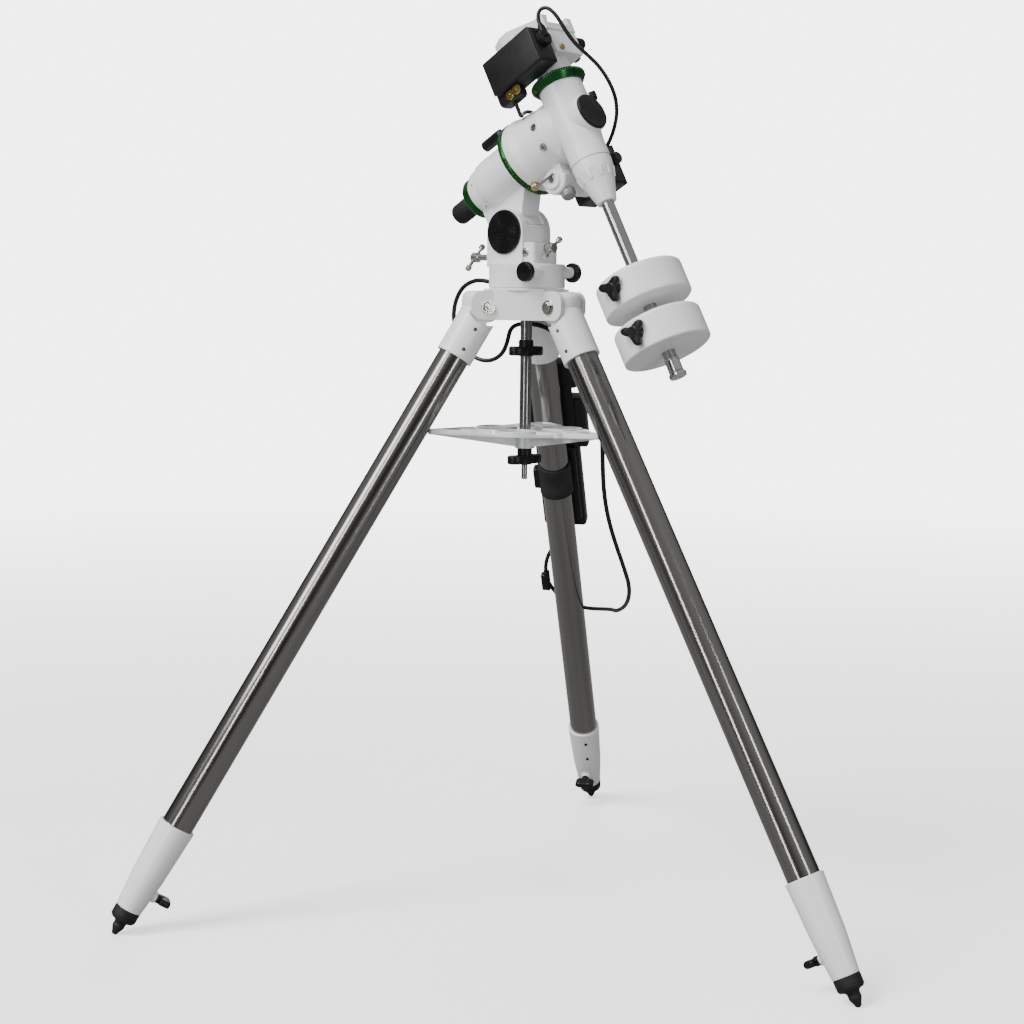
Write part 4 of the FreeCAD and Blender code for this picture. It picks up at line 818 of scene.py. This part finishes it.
def weight_knobs():
    """Three-lobed knobs whose screws clamp the counterweights."""
    for level, top in WEIGHT_TOPS.items():
        name = level + "_weight_knob"
        turn = joints[name + "_turn"]
        axis = AXES.to_3x3().normalized().inverted() @ Vector(turn["axis"])
        place = AXES @ toward(axis, (0, 0, top - WEIGHT_KNOB_DROP))
        shape = bmesh.new()
        outline_plate(shape, lobed(3, 7.5, 19, 1.4, spin=math.radians(30)), 62.5, 71.5, soft=2.6)
        lathe(shape, [(0, 61.3), (7.4, 61.3), (8, 62), (8, 71), (6.8, 72.3), (0, 72.3)], segments=48)
        lathe(shape, [(0, 10), (4, 10), (4, 60)], segments=24, material=1)
        lathe(shape, [(0, 58.6), (11, 58.6), (10.6, 60), (6.8, 63.4)], segments=48)
        finished(name + "_lobes", shape, place, name, [BLACK, BOLT], replaces=[name])


def polar_cover():
    """The fluted cap on the lower end of the polar axis."""
    face = POLAR_CAP_FACE
    shape = bmesh.new()
    end = face - 44.4
    lathe(shape, [(0, end), (9.8, end), (10.6, face - 43.8), (13.6, face - 43.2), (15.0, face - 41)],
          segments=120)
    lathe(shape, [(15.0, face - 41), (15.4, face - 39), (15.4, face - 5), (14.8, face - 4)], segments=120,
          radius=fluted(30, 0.5))
    lathe(
        shape,
        [(14.8, face - 4), (15.4, face - 3), (15.4, face - 0.5), (14, face), (14, face + 9), (0, face + 9)],
        segments=120,
    )
    finished("polar_cover_grip", shape, AXES @ toward((0, 1, 0)), "polar_cap", [RUBBER],
             replaces=["polar_cap"])


def ring_details():
    """The polar setting ring, a little proud of the drum, and the graduations on both setting rings."""
    up_polar = AXES @ toward((0, 1, 0))
    shape = bmesh.new()
    lathe(
        shape,
        [
            (RING_BORE, RING_LOW), (54.6, RING_LOW), (RING_RADIUS, -98.2), (RING_RADIUS, -91.0),
            (55.3, -90.2), (54.8, -90.2), (54.8, -91.6), (RING_BORE, -91.6), (RING_BORE, RING_LOW),
        ],
        segments=128,
    )
    finished("ra_setting_band", shape, up_polar, "ra_setting_ring", [GREEN],
             replaces=["ra_setting_ring"])
    shape = bmesh.new()
    for index in range(MARKS):
        length = 3.4 if index % 6 == 0 else 1.8
        turn = Matrix.Rotation(2 * math.pi * index / MARKS, 4, "Z")
        block(shape, (55.5, 55.96), (-0.18, 0.18), (RING_MARK_EDGE - length, RING_MARK_EDGE), turn)
    finished("ra_ring_marks", shape, up_polar, "ra_setting_ring", [GREY])
    shape = bmesh.new()
    for index in range(MARKS):
        length = 3.6 if index % 6 == 0 else 2.2
        turn = Matrix.Rotation(2 * math.pi * index / MARKS, 4, "Z")
        block(shape, (39.0, 39.32), (-0.2, 0.2), (DEC_RING_MARK_EDGE - length, DEC_RING_MARK_EDGE), turn)
    finished("dec_ring_marks", shape, AXES, "dec_ring", [GREY])


def motor_cases():
    """The declination motor box with its vents and brass gears, and the polar one with its lid screws."""
    shape = bmesh.new()
    block(shape, (27, 62.4), (-62, 34), (73, 126), soft=4, segments=4)
    block(shape, (62.9, 66), (-61.4, 33.4), (73.6, 125.4), soft=1.4)
    block(shape, (61, 64), (-60, 32), (75, 124))
    block(shape, (31, 56), (-69, -28), (58, 96), soft=8, segments=5)
    for row in range(6):
        block(shape, (34, 58), (-61.8, -61.2), (88 + row * 5, 90 + row * 5), soft=0.25)
    finished("dec_motor_case", shape, AXES, "dec_rotor", [CASE], replaces=["dec_motor_box"])
    gears = bmesh.new()
    for along, up in ((-42, 65.5), (-29, 66)):
        at = toward((1, 0, 0), (54.8, along, up))
        lathe(gears, [(0, 0), (6.8, 0), (6.8, 3.4), (0, 3.4)], at, 144, radius=fluted(24, 1.0))
        lathe(gears, [(0, -0.8), (2, -0.8), (2, 4), (0, 4)], at, 20)
    finished("dec_gears", gears, AXES, "dec_rotor", [BRASS])
    shape = bmesh.new()
    block(shape, (-90.4, -56), (-90, -20), (-78, -14), soft=4, segments=4)
    block(shape, (-94, -90.9), (-89.4, -20.6), (-77.4, -14.6), soft=1.4)
    block(shape, (-92, -88), (-88, -22), (-76, -16))
    lathe(shape, [(0, 0), (14, 0), (14, 8), (0, 8)], toward((-1, 0, 0), (-50, -55, -56)), 48)
    lathe(shape, [(0, 0), (9, 0), (9, 4), (8.4, 4.4), (9, 4.8), (9, 11.5), (7.4, 14), (0, 14)],
          toward((0, 1, 0), (-79, -22, -42)), 48, radius=fluted(16, 0.5))
    for along in (-83, -27):
        for up in (-71, -21):
            hex_socket_screw(shape, toward((-1, 0, 0), (-93.2, along, up)), 2.6, 1.4, socket=0)
    finished("ra_motor_case", shape, AXES, "ra_rotor", [CASE], replaces=["ra_motor_box"])


def plug():
    """The declination motor's plug: a fluted shell and a stepped sleeve for the lead."""
    shape = bmesh.new()
    at = toward((0, 1, 0), (45, 34.3, 106))
    lathe(shape, [(0, 0), (11.5, 0), (11.5, 2.4), (10.8, 3.0), (11.5, 3.6), (11.5, 7.2), (9.6, 9), (0, 9)],
          at, 120, radius=fluted(20, 0.6))
    up = toward((0, 0, 1), (45, 40.3, 106))
    lathe(
        shape,
        [
            (0, 0), (5.5, 0), (5.5, 14), (4.8, 14.6), (4.9, 15.6), (4.3, 16.2), (4.4, 17.2), (3.8, 17.8),
            (3.9, 18.8), (3.4, 20), (0, 20),
        ],
        up, 32,
    )
    finished("dec_plug_shell", shape, AXES, "dec_rotor", [BLACK], replaces=["dec_plug"])


def clutch_screw():
    """The brass thumbscrew on the drum, and the flat lever across its head."""
    radial = Vector((0.438, 0, -0.899))
    polar = Vector((0, 1, 0))
    at = toward(radial, (0, CLUTCH_ALONG, 0))
    shape = bmesh.new()
    lathe(shape, [(0, 54.9), (5.6, 54.9), (6, 55.4), (6, 60.6), (5.4, 61.4), (0, 61.6)], at, 96,
          radius=fluted(22, 0.5))
    lever = plain_frame(radial.cross(polar), polar, radial, Vector((0, CLUTCH_ALONG, 0)))
    outline = [(-3.6, -2), (3.6, -2), (2.0, 12), (1.4, 34), (2.2, 38), (-2.2, 38), (-1.4, 34), (-2.0, 12)]
    outline_plate(shape, outline, 60.2, 61.9, lever, material=1, soft=0.3)
    finished("ra_clutch_thumbscrew", shape, AXES, "ra_clutch_screw", [BRASS, DARK_CHROME],
             replaces=["ra_clutch_screw"])


def handset():
    """The hand controller with its keys, and the strap and back plate that hold it to the west leg."""
    shape = bmesh.new()
    block(shape, (-34, 34), (27.5, 50), (-420, -250), soft=6, segments=5)
    block(shape, (-40, 50), (27.5, 51), (-268, -178), soft=6, segments=5)
    block(shape, (-36, 46), (50.6, 53), (-262, -184), soft=1.1)
    block(shape, (-26, 36), (52.2, 53.3), (-224, -192), soft=0.4, material=1)
    block(shape, (-29, 29), (49.4, 50.9), (-390, -276), soft=0.6)
    finished("handset_shell", shape, LEG["west"], "west_leg", [BLACK, GLASS],
             replaces=["hand_controller"])
    keys = bmesh.new()
    for row in range(6):
        for column in (-1, 0, 1):
            x, z = column * 17, -290 - row * 17
            block(keys, (x - 5.2, x + 5.2), (49.2, 52.6), (z - 4, z + 4), soft=1.3)
    finished("handset_keys", keys, LEG["west"], "controller_keys", [RUBBER],
             replaces=["controller_keys"])
    strap = bmesh.new()
    low, high = -330, -278
    lathe(
        strap,
        [
            (LEG_TUBE_RADIUS, low), (25.0, low), (25.4, -329), (25.4, -317), (25.0, -316.4), (25.0, -290),
            (25.4, -289), (25.4, -279), (25.0, high), (LEG_TUBE_RADIUS, high), (LEG_TUBE_RADIUS, low),
        ],
    )
    block(strap, (-31, 34), (23, 27.4), (-262, -112), soft=2, material=1)
    block(strap, (8, 42), (24, 44), (-158, -110), soft=6, material=1, segments=5)
    block(strap, (-30, 30), (18.2, 27.4), (-400, -262), soft=2.5, material=1)
    block(strap, (-33, -22.6), (-8, 8), (-322, -286), soft=2.4, material=1)
    for height in (-390, -330, -272):
        block(strap, (-26, 26), (26.6, 27.6), (height - 3, height + 3), soft=0.4, material=1)
    finished("handset_strap", strap, LEG["west"], "west_leg", [STRAP, BLACK],
             replaces=["controller_bracket"])


def shaft_end():
    """The knurled cap on the end of the counterweight shaft."""
    top = SHAFT_CAP_TOP
    shape = bmesh.new()
    lathe(shape, [(4.3, top - 19), (4.3, top), (9.4, top), (10, top - 0.6), (10, top - 19)])
    lathe(shape, [(10, top - 19), (10.6, top - 20.4), (12, top - 21.4), (12, top - 26.2)], segments=96,
          radius=fluted(32, 0.35))
    lathe(shape, [(12, top - 26.2), (11.2, top - 27), (4, top - 27), (3.6, top - 26), (0, top - 26)],
          segments=96)
    lathe(shape, [(4.3, top - 19), (0, top - 19)])
    finished("shaft_end_knob", shape, AXES, "shaft_end_cap", [CHROME],
             replaces=["shaft_end_cap"])


def floor():
    """A pale floor that fades into the white background with distance, and throws little light upward."""
    shape = bmesh.new()
    bmesh.ops.create_grid(shape, x_segments=2, y_segments=2, size=60)
    mesh = bpy.data.meshes.new("floor")
    shape.to_mesh(mesh)
    shape.free()
    made = material("pale_floor", (0.86, 0.86, 0.86), 0.7, shade=0.01, patch=0.6, grain=0.02, grain_size=60,
                    edge=0)
    tree = made.node_tree

    def glow(strength):
        node = tree.nodes.new("ShaderNodeEmission")
        node.inputs["Strength"].default_value = strength
        return node.outputs[0]

    def mixed(factor, first, second):
        node = tree.nodes.new("ShaderNodeMixShader")
        for socket, source in zip(node.inputs, (factor, first, second)):
            tree.links.new(source, socket)
        return node.outputs[0]

    place = tree.nodes.new("ShaderNodeTexCoord").outputs["Object"]
    reach = tree.nodes.new("ShaderNodeVectorMath")
    reach.operation = "LENGTH"
    tree.links.new(place, reach.inputs[0])
    fade = tree.nodes.new("ShaderNodeMapRange")
    fade.interpolation_type = "SMOOTHSTEP"
    fade.inputs["From Min"].default_value = 0.8
    fade.inputs["From Max"].default_value = 6.0
    tree.links.new(reach.outputs["Value"], fade.inputs["Value"])
    near = tree.nodes.new("ShaderNodeAddShader")
    tree.links.new(tree.nodes["Principled BSDF"].outputs[0], near.inputs[0])
    tree.links.new(glow(1.0), near.inputs[1])
    seen = mixed(fade.outputs[0], near.outputs[0], glow(BACKDROP_GLOW))
    dim = tree.nodes.new("ShaderNodeBsdfDiffuse")
    dim.inputs["Color"].default_value = (0.24, 0.24, 0.24, 1)
    ray = tree.nodes.new("ShaderNodeLightPath").outputs["Is Camera Ray"]
    tree.links.new(mixed(ray, dim.outputs[0], seen), tree.nodes["Material Output"].inputs["Surface"])
    mesh.materials.append(made)
    obj = bpy.data.objects.new("floor", mesh)
    bpy.context.scene.collection.objects.link(obj)


camera()
studio()
floor()
controller_cord()
motor_cords()
feet()
tripod_knobs()
leg_screws()
hinge_hardware()
tommy_bars()
clamp_screws()
housing_details()
tray_rims()
altitude_caps()
round_knobs()
weight_knobs()
polar_cover()
ring_details()
motor_cases()
plug()
clutch_screw()
handset()
shaft_end()
